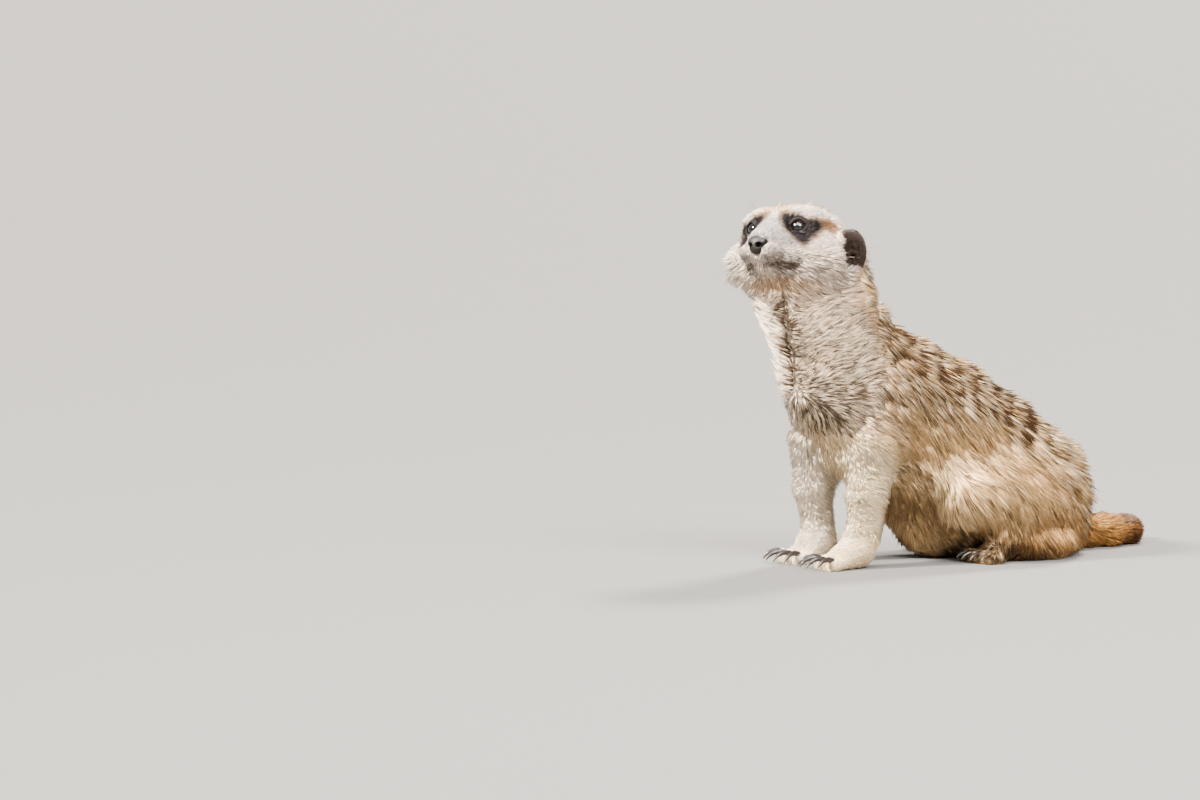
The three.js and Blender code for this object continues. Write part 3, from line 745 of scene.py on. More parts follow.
def new_mesh(name, points, faces, smooth=True):
    """A mesh object of points in millimetres and faces that all have as many corners."""
    mesh = bpy.data.meshes.new(name)
    count, corners = faces.shape
    mesh.vertices.add(len(points))
    mesh.vertices.foreach_set("co", (np.asarray(points) * MM).astype(FLOAT).ravel())
    mesh.loops.add(count * corners)
    mesh.loops.foreach_set("vertex_index", faces.astype(np.int32).ravel())
    mesh.polygons.add(count)
    mesh.polygons.foreach_set("loop_start", np.arange(0, count * corners, corners, dtype=np.int32))
    mesh.update(calc_edges=True)
    if smooth:
        mesh.shade_smooth()
    piece = bpy.data.objects.new(name, mesh)
    bpy.context.scene.collection.objects.link(piece)
    return piece


def closed_mesh(name, points, faces):
    """A mesh of a closed surface, its faces turned outward."""
    a, b, c = (points[faces[:, i]].astype(float) for i in range(3))
    return new_mesh(name, points, faces if (np.cross(a, b) * c).sum() > 0 else faces[:, ::-1])


def make_skin():
    """The skin of the body and the finer one of the head, joined into one."""
    skin, head = closed_mesh("skin", *body_skin()), closed_mesh("head_skin", *head_skin())
    join = skin.modifiers.new("join", "BOOLEAN")
    join.operation, join.solver, join.object = "UNION", "MANIFOLD", head
    whole = bpy.data.meshes.new_from_object(skin.evaluated_get(bpy.context.evaluated_depsgraph_get()))
    skin.modifiers.clear()
    skin.data = whole
    skin.data.name = "skin"
    bpy.data.objects.remove(head)
    skin.data.shade_smooth()
    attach(skin, "root")
    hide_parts(*FLESH)
    return skin


# ---------------------------------------------------------------- the markings

def tint(red, green, blue):
    """A colour given as a screen shows it, from 0 to 255, as plain light."""
    share = np.array((red, green, blue)) / 255
    return np.where(share < 0.04045, share / 12.92, ((share + 0.055) / 1.055) ** 2.4).astype(FLOAT)


CREAM, WHITE, GOLD = tint(254, 236, 206), tint(254, 243, 228), tint(248, 215, 172)
BROWN, DARK_BROWN, STRAW = tint(122, 86, 56), tint(50, 34, 25), tint(246, 224, 192)
GREY_CREAM, NECK_BROWN, BELLY = tint(226, 207, 184), tint(110, 84, 64), tint(156, 130, 100)
OCHRE, RUST, TAIL_END = tint(176, 134, 90), tint(142, 94, 60), tint(66, 42, 30)
NAPE, HAUNCH, SHADE = tint(222, 182, 138), tint(168, 128, 88), tint(84, 62, 46)
CROWN, FOREHEAD, BRIDGE = tint(140, 112, 86), tint(196, 168, 140), tint(160, 153, 147)
EYE_PATCH, PATCH_EDGE, LIPS = tint(13, 8, 7), tint(92, 68, 54), tint(48, 36, 32)
PATCH_BLUE, MUZZLE, EAR_DARK = tint(38, 36, 40), tint(140, 132, 126), tint(27, 19, 13)
CHIN, PAW, EAR_EDGE = tint(184, 150, 114), tint(222, 196, 160), tint(222, 192, 154)
GOLDEN, FOOT, LEG = tint(132, 94, 62), tint(64, 48, 33), tint(255, 238, 209)
HEAD_PALE = tint(226, 211, 198)
RICHNESS = 1.25  # how much purer the coat's colours are than these tints, which a soft light dulls
DARKEST, LIGHTEST = 0.004, 0.93  # that hair is, in any of its colours

NOISE_SIDE = 32
noise_block = np.random.default_rng(3).random((NOISE_SIDE,) * 3).astype(FLOAT)


def noise(points, scale, shift=0):
    """Smooth noise from 0 to 1 whose patches are about as wide as the scale."""
    at = points / scale + shift * 7.3
    low = np.floor(at).astype(int)
    part = (at - low).astype(FLOAT)
    part = part * part * (3 - 2 * part)
    made = np.zeros(len(points), FLOAT)
    for corner in np.ndindex(2, 2, 2):
        share = np.prod(np.where(corner, part, 1 - part), axis=1)
        made += share * noise_block[tuple(((low + corner) % NOISE_SIDE).T)]
    return made


SPINE = np.array([(1, -96, 168), (1, -81, 145), (-3, -67, 122), (-5, -53, 104), (-3, -31, 93),
                  (-1, -3, 77), (0, 27, 58), (0, 59, 36), (0, 85, 20)], FLOAT)
TAIL_LINE = np.array([(0, 84, 16), (3, 101, 10), (7, 121, 8), (4, 139, 8), (-12, 151, 7), (-34, 154, 7),
                      (-58, 148, 6), (-80, 135, 5), (-97, 117, 4)], FLOAT)
BAND_STEP, BANDS_FROM, BANDS_TO = 13.0, 52, 190
BACK_FROM = ((80, 93, 109, 131, 149, 168), (-34, -49, -54, -60, -82, -98))  # heights, and y there
WHORL, SHOULDER = np.array((13, -89, 91), FLOAT), np.array((32, -52, 78), FLOAT)
MOUTH_LINE = np.concatenate([MOUTH[:0:-1] * mirror(-1), MOUTH])
PATCH_SIDES = [  # of the dark patch round an eye: outward, up, and how far each side is
    (0.1, 1, 4.9), (-1, 0, 10.2), (-0.707, -0.707, 7.4), (0.72, -0.69, 8.2), (0.9, 0.43, 9.6)]
PATCH_ROUND = 0.8


def along_line(points, line):
    """How far along a line each point's nearest spot is, its way from there and the line's run."""
    best = np.full(len(points), np.inf, FLOAT)
    reached, away, run = np.zeros_like(best), np.zeros_like(points), np.zeros_like(points)
    done = 0.0
    for start, end in zip(line, line[1:]):
        along = end - start
        length = np.linalg.norm(along)
        t = np.clip((points - start) @ along / length**2, 0, 1)
        offset = points - start - t[:, None] * along
        gap = (offset**2).sum(1)
        nearer = gap < best
        best[nearer] = gap[nearer]
        reached[nearer] = done + t[nearer] * length
        away[nearer], run[nearer] = offset[nearer], along / length
        done += length
    return reached, away, run


def backs(points):
    """How much each point is on the back, from -1 below to 1 above, and how dark its band is."""
    place = in_body(points).astype(FLOAT)
    reached, away, run = along_line(place, SPINE)
    upward = unit(np.stack([np.zeros(len(run)), -run[:, 2], run[:, 1]], 1))
    above = (unit(away) * upward).sum(1)
    sway = 9 * (noise(points, 22, 1) - 0.5) + 5 * (noise(points, 8, 2) - 0.5)
    wave = np.cos((reached + sway + 0.12 * np.abs(place[:, 0])) * 2 * pi / BAND_STEP)
    broken = 0.35 + 0.9 * noise(points * (0.5, 1, 1), 9, 3)
    band = ramp(wave * broken, 0.0, 0.6)
    band *= ramp(reached, BANDS_FROM - 14, BANDS_FROM + 8) * ramp(reached, BANDS_TO + 10, BANDS_TO - 20)
    return reached, above, band * ramp(above, 0.1, 0.62)


def eye_spread(face, side):
    """Where points of the head are as seen along an eye's look: outward, up, and ahead of its middle."""
    ahead, out, up = eye_axes(side)
    offset = face - eye_centre(side)
    return offset @ out, offset @ up, offset @ ahead


def layered(colour, *layers):
    """A colour with others laid over it in turn, each with its share at each point."""
    for other, share in layers:
        colour = colour + (other - colour) * share[:, None]
    return colour


def toward(values, goal, share):
    return values + (goal - values) * share


def within_hair(colour):
    """The colours, those too light for hair dimmed as a whole so that they stay as pure."""
    return np.maximum(colour / np.maximum(colour.max(1, keepdims=True) / LIGHTEST, 1), DARKEST)


def trunk_look(place, mottle, patchy, above, back, band):
    """The trunk is gold above with dark bands and cream in front; under the belly it is tan, partly its own
    colour and partly painted shade, and lighter near the floor as painted light.
    """
    x, y, z = place.T
    rear = ramp(y, 30, 80)
    haunch = ramp(y, 4, 36) * ramp(np.abs(x), 8, 18) * (1 - 0.6 * back)
    belly = ramp(z, 54, 40) * ramp(y, -52, -40) * ramp(y, 34, 14) * ramp(np.abs(x), 30, 20)
    colour = layered(
        GOLD,
        (CREAM, 0.3 * ramp(-above + 0.5 * mottle, -0.45, 0.2) * ramp(y, 10, -40)),
        (BROWN, (0.45 + 0.45 * band) * back * (1 - 0.5 * rear)),
        (HAUNCH, 0.6 * haunch * ramp(patchy + 0.5 * mottle, -0.2, 0.25)),
        (HAUNCH, 0.75 * haunch * ramp(z + 8 * mottle, 36, 20)),
        # Under the belly the tan is partly its own colour and partly painted shade.
        (BELLY, belly),
        # Painted light: the belly is painted lighter near the floor, against the shadow there.
        (GOLD, 0.5 * belly * ramp(z + 8 * mottle, 34, 8)))
    roots = 0.58 - 0.2 * back + 0.3 * belly
    dark = 0.07 + (0.17 * (1 + patchy) + 0.95 * band) * back * (1 - 0.4 * rear)
    dark += 0.18 * haunch * ramp(patchy, -0.1, 0.3) * ramp(z, 20, 50)
    return colour, roots, dark * (1 - 0.9 * belly)


def neck_look(look, points, place, mottle, patchy, behind, past):
    """The neck is cream over a dark undercoat, parted down the throat, and darker on its near side as
    painted shade.
    """
    colour, roots, dark = look
    x, y, z = place.T
    straight = in_neck(points).astype(FLOAT)
    neck = ramp(z + 6 * mottle, 70, 86) * (1 - behind) * ramp(y, -30, -44)
    whorl = ramp(np.linalg.norm(place - WHORL, axis=1) + 12 * patchy, 34, 6)
    under = np.maximum(whorl, 0.8 * ramp(z, 84, 104) * ramp(z, 156, 138))
    # Painted shade: the dark undercoat is painted stronger on the neck's near side.
    under *= neck * (0.55 + 0.45 * ramp(x, -14, 6))
    bib = neck * ramp(straight[:, 0], 4, -10) * neck_front(straight)
    parting = at_parting(points, PARTING_WIDTH)[1]
    colour = layered(
        colour,
        (GREY_CREAM, neck),
        (NECK_BROWN, 0.34 * under),
        (WHITE, 0.9 * np.maximum(bib, neck * ramp(z, 88, 74))),
        (NECK_BROWN, 0.85 * parting),
        (NAPE, 0.7 * neck * ramp(past, -16, -4)),
        (RUST, 0.45 * behind * ramp(past, 10, 2) * ramp(z, 100, 130)))
    roots = roots - 0.3 * under - 0.3 * parting
    return colour, roots, dark + under * (0.2 + 0.32 * whorl) + 0.1 * parting


def limb_look(look, place, mottle):
    """The front legs are cream, whiter on the far leg as painted light and buff toward their rear as painted
    shade, and the hind feet dark.
    """
    colour, roots, dark = look
    x, y, z = place.T
    leg = ramp(z, 84, 66) * ramp(y, -34, -44)
    shoulder = ramp(np.linalg.norm(place - SHOULDER, axis=1) + 12 * mottle, 26, 10)
    foot_end = np.where(x > 0, 8, 24)
    foot = ramp(z + 5 * mottle, 25, 14) * ramp(np.abs(x), 18, 24) * ramp(y, foot_end - 18, foot_end - 6)
    foot *= ramp(y + 10 * mottle, 60, 30)
    colour = layered(
        colour,
        (LEG, leg),
        # Painted light: the far front leg is painted whiter.
        (WHITE, 0.8 * leg * ramp(x, 0, -12)),
        # Painted shade: the lower front legs are painted buff toward their rear side.
        (GOLD, 0.35 * leg * ramp(y - 0.12 * z, -68, -54) * ramp(z, 70, 40)),
        (PAW, 0.3 * leg * ramp(z + 8 * mottle, 24, 2)),
        (GOLD, 0.6 * shoulder),
        (HAUNCH, 0.22 * shoulder),
        (FOOT, 0.9 * foot))
    roots = toward(roots, 0.74, leg * (1 - 0.7 * shoulder))
    return colour, toward(roots, 0.5, foot), dark * (1 - 0.8 * leg)


def tail_look(look, place, mottle):
    """The tail is ochre, and darker from its bend on."""
    colour, roots, dark = look
    reached, away, _ = along_line(place, TAIL_LINE)
    tail = ramp((away**2).sum(1), 16**2, 13**2) * ramp(place[:, 1], 82, 92)
    spotted = reached + 8 * mottle
    colour = layered(
        colour,
        (OCHRE, tail),
        (RUST, 0.5 * tail * ramp(reached, 30, 60)),
        (TAIL_END, tail * (0.8 * ramp(spotted, 26, 54) + 0.2 * ramp(spotted, 120, 160))))
    return colour, toward(roots, 0.6, tail), dark * (1 - tail) + 0.1 * tail


def head_look(points, face, mottle, patchy):
    """The head is pale but for its crown, the dark round the eyes, and the mouth."""
    x, y, z = face.T
    wide = np.abs(x)
    pad = ramp(y, 2, -5) * ramp(z + 3 * mottle, -11, -18) * ramp(wide, 2, 5)
    brow = ramp(np.abs(z - 11.0 + 0.2 * (y - 8)), 4.2, 1.6) * ramp(wide, 6, 11) * ramp(y, 34, 24)
    under_ear = ramp(((face - (0, 36, -28)) ** 2 * (0, 1, 1)).sum(1), 14**2, 5**2) * ramp(wide, 14, 20)
    colour = layered(
        HEAD_PALE,
        # Painted light: the head's far side is painted whiter, as if it were lit more than the near side.
        (WHITE, ramp(x, -6, -22)),
        (GREY_CREAM, ramp(y, 24, 44)),
        (CROWN, ramp(z + 0.15 * y + 3 * mottle, 7, 14) * ramp(y, -2, 8)),
        (FOREHEAD, ramp(wide, 11, 5) * ramp(y, -4, 3) * ramp(y, 26, 12) * ramp(z, 2, 6)),
        (BRIDGE, ramp(y, 1, -5) * ramp(z, -16, -9)),
        (MUZZLE, 0.8 * pad),
        (WHITE, 0.95 * brow * ramp(y, -2, 4)),
        # Under the jaw the coat is tan, partly its own colour and partly painted shade.
        (CHIN, 0.75 * ramp(z, -24, -29) * ramp(y, 16, -2)),
        (GOLD, 0.8 * under_ear))
    roots = np.full(len(face), 0.52, FLOAT)
    for side in SIDES:
        this_side = ramp(side * x, 1.0, 3.0)
        spot = ball(face, (side * 23, 14.5, 2.5), (5.5, 7, 5))
        out, up, ahead = eye_spread(face, side)
        beyond = np.stack([across * out + rise * up - far for across, rise, far in PATCH_SIDES])
        patch = PATCH_ROUND * np.log(np.exp(beyond / PATCH_ROUND).sum(0)) + 2.5 * patchy
        facing = this_side * ramp(ahead, -10, -5)
        inner = facing * ramp(patch, 1.0, -1.4)
        colour = layered(
            colour,
            (GOLDEN, 0.9 * this_side * ramp(spot + 2 * patchy, 2, -2)),
            (PATCH_EDGE, 0.8 * facing * ramp(patch, 2.6, 0.6)),
            (EYE_PATCH, inner),
            (PATCH_BLUE, 0.6 * inner * ramp(up, -3, -6)))
        roots = toward(roots, 0.95, inner)
    lips = rod(face, MOUTH_LINE) + 1.8 * (noise(points, 2.2, 9) - 0.5)
    lips = ramp(lips - 0.8 * ramp(wide, 3, 8) * ramp(wide, 17, 12), 2.6, 0.6) * ramp(z, -19, -21)
    lips *= ramp(wide, 19, 14)
    # The share of dark hairs is higher under the jaw, partly as painted shade.
    dark = 0.02 + 0.1 * pad + 0.1 * ramp(z, -24, -30) * ramp(y, 2, 12) + 0.25 * lips
    return layered(colour, (LIPS, 0.75 * lips)), roots, dark


def markings(points):
    """The coat's colour at each point, how dark it is at the roots, and its share of dark hairs."""
    place, face = in_body(points).astype(FLOAT), in_head(points)
    z = place[:, 2]
    mottle, patchy = noise(points, 14, 4) - 0.5, noise(points, 6, 8) - 0.5
    reached, above, band = backs(points)
    past = place[:, 1] - np.interp(z, *BACK_FROM)
    behind = ramp(past + 8 * mottle, -5, 7) * ramp(z, 70, 96)
    back = ramp(above + 0.5 * mottle, -0.05, 0.6) * ramp(reached, 36, 70) * ramp(place[:, 1], -58, -46)
    back = np.maximum(back, behind * ramp(above, -0.5, 0.2))
    look = trunk_look(place, mottle, patchy, above, back, band)
    look = neck_look(look, points, place, mottle, patchy, behind, past)
    look = limb_look(look, place, mottle)
    colour, roots, dark = tail_look(look, place, mottle)

    head_colour, head_roots, head_dark = head_look(points, face, mottle, patchy)
    on_head = ramp(around_neck_cut(points) + 6 * mottle, -2, 18)
    ear = on_ear(ear_gap(points))[:, 0]
    front = np.minimum(*(in_ear(face, side)[:, 1] + 50 * (side * face[:, 0] < 0) for side in SIDES))
    colour = layered(
        colour,
        (head_colour, on_head),
        (EAR_DARK, ear),
        (EAR_EDGE, 0.9 * ear * ramp(front + 5 * patchy, -7, -9)))
    roots = toward(toward(roots, head_roots, on_head * ramp(face[:, 1], 44, 20)), 1, ear)
    dark = toward(dark, head_dark, on_head * ramp(face[:, 1], 48, 30)) * (1 - ear)
    grey = colour.mean(1, keepdims=True)
    colour = within_hair(grey + (RICHNESS + 0.1 * ramp(grey, 0.35, 0.8)) * (colour - grey))
    return colour, np.clip(roots, 0.12, 1), np.clip(dark, 0, 0.9)


# ---------------------------------------------------------------- materials

COLOUR = "coat_colour"


def new_material(name, roughness, specular, coat=0.0, coat_roughness=0.05):
    material = bpy.data.materials.new(name)
    material.use_nodes = True
    for socket, value in (("Roughness", roughness), ("Specular IOR Level", specular),
                          ("Coat Weight", coat), ("Coat Roughness", coat_roughness)):
        shader_of(material).inputs[socket].default_value = value
    return material


def shader_of(material):
    return material.node_tree.nodes["Principled BSDF"]


def add_node(material, kind, **values):
    """A node with its sockets set by their names."""
    node = material.node_tree.nodes.new("ShaderNode" + kind)
    for name, value in values.items():
        node.inputs[name.replace("_", " ")].default_value = value
    return node


def link(material, source, node, socket):
    material.node_tree.links.new(source, node.inputs[socket])


def texture(material, kind, output, **values):
    """A texture that lies in the piece's own place."""
    node = add_node(material, kind, **values)
    link(material, add_node(material, "TexCoord").outputs["Object"], node, "Vector")
    return node.outputs[output]


def noise_node(material, scale, detail=3.0):
    return texture(material, "TexNoise", "Fac", Scale=scale, Detail=detail, Roughness=0.55)


def bump(material, height, strength, distance):
    node = add_node(material, "Bump", Strength=strength, Distance=distance)
    link(material, height, node, "Height")
    link(material, node.outputs["Normal"], shader_of(material), "Normal")


def painted(material, scale, low, high):
    """The mesh's own colours, made lighter and darker by a fine noise."""
    paint = add_node(material, "Attribute")
    paint.attribute_name = COLOUR
    shade = add_node(material, "MapRange", To_Min=low, To_Max=high)
    link(material, noise_node(material, scale), shade, "Value")
    product = add_node(material, "VectorMath")
    product.operation = "SCALE"
    link(material, paint.outputs["Color"], product, 0)
    link(material, shade.outputs["Result"], product, "Scale")
    link(material, product.outputs["Vector"], shader_of(material), "Base Color")


def fur_material():
    painted(new_material("fur", 0.6, 0.12), 260, 0.88, 1.12)


def skin_material():
    material = new_material("skin", 0.8, 0.2)
    painted(material, 900, 0.75, 1.2)
    bump(material, noise_node(material, 1400, 4.0), 0.6, 0.0006)


def eye_material():
    painted(new_material("wet_eye", 0.05, 0.35, coat=0.6, coat_roughness=0.02), 1800, 0.8, 1.2)


def nose_material():
    material = new_material("bare_nose", 0.36, 0.2)
    painted(material, 700, 0.7, 1.3)
    bump(material, texture(material, "TexVoronoi", "Distance", Scale=1600), 0.35, 0.0003)


def claw_material():
    material = new_material("horn", 0.3, 0.35, coat=0.12)
    painted(material, 600, 0.7, 1.25)
    bump(material, noise_node(material, 1200, 2.0), 0.25, 0.0003)


def paint(piece, colours, material):
    """Gives a piece a colour at each of its points, and its material."""
    layer = piece.data.color_attributes.new(COLOUR, "FLOAT_COLOR", "POINT")
    full = np.ones((len(colours), 4), FLOAT)
    full[:, :3] = colours
    layer.data.foreach_set("color", full.ravel())
    piece.data.materials.clear()
    piece.data.materials.append(bpy.data.materials[material])


TEAR_GLINT_SPOT = (4.6, -6.7, -1.7)  # where a painted highlight lies at the wet corner: ahead, outward and up from an eye's middle
RIM_FROM, RIM_TO = EYE_RADIUS + LID_THICK + 1.3, EYE_RADIUS + LID_THICK + 0.3
RIM, LOWER_RIM_AND_GLINT, TEAR_GLINT, BARE_LIPS = tint(18, 15, 15), tint(84, 76, 80), tint(206, 206, 212), tint(34, 25, 22)


def paint_skin(skin):
    """The skin is a dark undercoat, with the lids' rims and the lips bare, a painted highlight at the wet
    corner of each eye, and a paler lower rim that is partly painted highlight.
    """
    points = points_of(skin.data)
    colour, roots, _ = markings(points)
    face = in_head(points)
    colour = colour * (0.25 + 0.6 * roots[:, None])
    for side in SIDES:
        far = np.linalg.norm(face - eye_centre(side), axis=1)
        out, up, ahead = eye_spread(face, side)
        rim = ramp(far, RIM_FROM, RIM_TO) * ramp(ahead, -1, 1)
        to_tear_glint = np.linalg.norm(np.stack([ahead, out, up], 1) - TEAR_GLINT_SPOT, axis=1)
        colour = layered(
            colour,
            (RIM, rim),
            # The lower lid's rim is paler grey, partly its own skin and partly a painted highlight.
            (LOWER_RIM_AND_GLINT, 0.8 * rim * ramp(up, -2.4, -4.2) * ramp(out, 5, 2)),
            # A pale spot at the wet corner toward the nose is a painted highlight.
            (TEAR_GLINT, ramp(to_tear_glint, 1.5, 0.7)))
    paint(skin, layered(colour, (BARE_LIPS, ramp(rod(face, MOUTH_LINE), 1.7, 0.8))), "skin")


# ---------------------------------------------------------------- the coat

COVER = 7.8  # how many tufts lie over each spot
FINENESS = 0.85
PIECE_TUFTS = 48000
UV_PATCH, UV_ANGLE, UV_MARGIN = 0.003, 66, 0.002
CUT_ALONG = (0.2, 1, 0.3)  # the way along which a region's tufts are shared out among its pieces
REGIONS = {  # the nodes that each region's coat is nearest to, and its slot
    "head": (("head", "ear_left", "ear_right"), "coat_pale"),
    "neck": (("neck",), "coat_pale"),
    "trunk": (("trunk",), "coat_back"),
    "front_legs": (("front_leg_left", "front_leg_right", "front_paw_left", "front_paw_right"), "coat_pale"),
    "hind_legs": (("hind_leg_left", "hind_leg_right", "hind_foot_left", "hind_foot_right"), "coat_pale"),
    "tail": (("tail_base", "tail_middle", "tail_tip"), "coat_ochre"),
}
FLOOR_GAP = 0.15
SOLES = 0.4  # the height below which the skin is bare
LID_EDGES, NOSEWARD = (0.15, 0.6), -3  # how far from the lids the coat starts, and nearer the nose than that
BARE_MOUTH, BARE_NOSE = 0.8, ((0, -18.6, -12.6), (6.2, 5.4, 5.6))


def nearest(points, targets):
    """For each point, which of the targets is the nearest."""
    tree = KDTree(len(targets))
    for i, target in enumerate(targets.tolist()):
        tree.insert(target, i)
    tree.balance()
    return np.array([tree.find(point)[1] for point in points.tolist()])


def bare(points):
    """True where no tuft grows: on the lids, in the sockets, on the nose and in the mouth."""
    face = in_head(points)
    hidden = points[:, 2] < SOLES
    for side in SIDES:
        far = np.linalg.norm(face - eye_centre(side), axis=1)
        out = eye_spread(face, side)[0]
        hidden |= far < EYE_RADIUS + LID_THICK + np.where(out > NOSEWARD, *LID_EDGES)
    hidden |= rod(face, MOUTH_LINE) < BARE_MOUTH
    return hidden | (ball(face, *BARE_NOSE) < 0)


def sow(skin):
    """The tufts' roots, spread over the skin so that each spot is covered as often."""
    points, corner = points_of(skin), triangles_of(skin)
    normals = values_of(skin.vertices, "normal")
    here = coat_at(points)[1][corner].mean(1)
    a, b, c = (points[corner[:, i]] for i in range(3))
    area = np.linalg.norm(np.cross(b - a, c - a), axis=1) / 2
    total = np.cumsum(area * COVER / (0.5 * here[:, LENGTH] * here[:, WIDTH] * FINENESS))
    count = int(total[-1])
    picks = (np.arange(count) + dice.random(count)) * total[-1] / count
    face = np.clip(np.searchsorted(total, picks), 0, len(corner) - 1)
    u, v = dice.random((2, count))
    over = u + v > 1
    u[over], v[over] = 1 - u[over], 1 - v[over]
    share = np.stack([1 - u - v, u, v], 1).astype(FLOAT)[:, :, None]
    at = corner[face]
    root = (points[at] * share).sum(1)
    normal = unit((normals[at] * share).sum(1))
    kept = ~bare(root)
    return face[kept], root[kept], normal[kept]


STRAYS = (0.03, 0.28)  # the share of stray tufts where the coat is flat, and where it stands out
LONGER, STEEPER, THINNER = 1.2, 1.3, 0.7  # what a stray tuft is, beside the others
LENGTHS, RISES, WIDTHS = (0.65, 1.15), (0.55, 1.3), (0.7, 1.25)  # of the tufts, beside the usual one
ROOT_RISE, TIP_RISE, BEND_AT = 1.45, 0.5, 0.45
SWIRL, LOCK_SWIRL, WAVER = 0.2, 0.3, 0.12  # how far the tufts stray sideways from the coat's run


def tuft_shapes(root, normal, run, clump, measures):
    """Each tuft's bend and tip, and its width."""
    count = len(root)
    way = run - (run * normal).sum(1, keepdims=True) * normal
    aside = np.cross(way, normal)
    swirl = noise(root, 7, 5) + 0.6 * noise(root, 3, 6) - 0.8
    way = unit(way + aside * ((SWIRL + LOCK_SWIRL * clump) * swirl + dice.normal(0, WAVER, count))[:, None])
    ragged = ramp(measures[:, RISE], 25, 42)
    stray = dice.random(count) < STRAYS[0] + (STRAYS[1] - STRAYS[0]) * ragged
    length = measures[:, LENGTH] * dice.uniform(*LENGTHS, count) * np.where(stray, LONGER, 1)
    rise = measures[:, RISE] * dice.uniform(*RISES, count) * np.where(stray, STEEPER, 1)
    width = FINENESS * measures[:, WIDTH] * dice.uniform(*WIDTHS, count) * np.where(stray, THINNER, 1)
    start, end = (np.radians(rise * share)[:, None] for share in (ROOT_RISE, TIP_RISE))
    half = BEND_AT * length[:, None]
    bend = root + half * (way * np.cos(start) + normal * np.sin(start))
    return bend, bend + (length[:, None] - half) * (way * np.cos(end) + normal * np.sin(end)), width


LOCK_TUFTS, STRAND_TUFTS = 42, 4
CLUMPED = (6, 14)  # the lengths of hair that hardly shows its locks, and that shows them fully
LOCK_PULL, LOCK_SPREAD, STRAND_PULL, STRAND_SPREAD = 0.42, 0.25, 0.6, 0.3
PULLS, BEND_PULL, BEND_SPREAD = (0.6, 1.1), 0.5, 0.6


def led(root, size):
    """For each tuft, the one that leads its group of about this many."""
    leader = dice.choice(len(root), len(root) // size, replace=False)
    return leader[nearest(root, root[leader])]


def out_of_lock(root, lead):
    """How far out in its lock each tuft is, where one is as usual."""
    far = np.linalg.norm(root - root[lead], axis=1)
    usual = np.bincount(lead, far, len(root)) / np.maximum(np.bincount(lead, minlength=len(root)), 1)
    return far / np.maximum(usual[lead], 0.1)


def gathered(root, bend, tip, lead, strand, clump, measures):
    """The tufts drawn together into locks, and in these into strands, more where they are long."""
    long = ramp(measures[:, LENGTH], 2, 9)
    for leader, most, spread in ((lead, LOCK_PULL * clump, LOCK_SPREAD),
                                 (strand, STRAND_PULL * long, STRAND_SPREAD)):
        pull = (most * dice.uniform(*PULLS, len(root)))[:, None]
        tip = tip + pull * (tip[leader] + spread * (root - root[leader]) - tip)
        bend = bend + BEND_PULL * pull * (bend[leader] + BEND_SPREAD * (root - root[leader]) - bend)
    return bend, tip


# A tuft is a thin blade of four points and four faces: its root, its two edges, and its tip.
TUFT_FACES = np.array([(0, 1, 2), (3, 2, 1), (0, 3, 1), (0, 2, 3)])
TUFT_SPREAD = np.array([(0, -0.5), (-0.5, 0.1), (0.5, 0.1), (0, 0.5)])
WIDEST_AT, ARCH, KEEL, ROOTED = 0.4, 0.55, 0.3, 0.4


def tuft_points(root, normal, bend, tip, width):
    t = WIDEST_AT
    flat = (1 - t) * root + t * tip
    curved = (1 - t) ** 2 * root + 2 * t * (1 - t) * bend + t * t * tip
    aside = unit(np.cross(tip - root, normal)) * width[:, None] / 2
    above = unit(np.cross(aside, tip - root)) * width[:, None] * KEEL
    edge = flat + ARCH * (curved - flat) + above
    made = np.stack([root - ROOTED * normal, edge - aside, edge + aside, tip], 1)
    made[:, :, 2] = np.maximum(made[:, :, 2], FLOOR_GAP)
    return made


LOCK_LIGHT, STRAND_LIGHT, TUFT_LIGHT, WARMTH = 0.15, 0.26, 0.13, 0.03  # how much each of these varies
BODY_SHADE, TIP_SHADE = 0.84, 1.22
LOCK_GAP_SHADE, STRAND_GAP_SHADE = 0.35, 0.4  # painted shade: how much darker the coat is painted between locks, and between strands


def tuft_colours(root, lead, strand, clump):
    """The colour of each tuft at its root, along it and at its tip."""
    colour, roots, dark = markings(root)
    count = len(root)
    # Painted shade: tufts out at the edge of their lock or strand are darkened, where shade falls between
    # them.
    gap_shade = LOCK_GAP_SHADE * clump * ramp(out_of_lock(root, lead), 0.9, 1.9)
    gap_shade += STRAND_GAP_SHADE * ramp(out_of_lock(root, strand), 0.9, 1.6)
    shade = 1 - gap_shade * ramp(roots, 0.95, 0.7)
    light = LOCK_LIGHT * clump * dice.normal(0, 1, count)[lead]
    light += dice.normal(0, STRAND_LIGHT, count)[strand] + dice.normal(0, TUFT_LIGHT, count)
    light = (np.exp(light) * shade)[:, None]
    warm = 1 + dice.normal(0, WARMTH, (count, 1))[strand] * (1, 0, -1)
    chance = dice.random(count)[strand]
    is_dark = (chance < dark)[:, None]
    pale = (chance > 1 - 0.55 * ramp(roots, 0.55, 0.3))[:, None]
    body = np.where(pale, 0.4 * STRAW + 0.6 * colour, colour * BODY_SHADE * warm) * light
    body = np.where(is_dark, (0.85 * DARK_BROWN + 0.15 * colour) * light, body)
    tip = np.where(pale, 0.6 * CREAM + 0.4 * colour, colour * TIP_SHADE * warm) * light
    tip = np.where(is_dark, 0.85 * DARK_BROWN + 0.15 * colour, tip)
    base = (SHADE * 0.35 + colour * 0.65) * roots[:, None] * shade[:, None]
    return np.stack([within_hair(part).astype(FLOAT) for part in (base, body, body, tip)], 1)


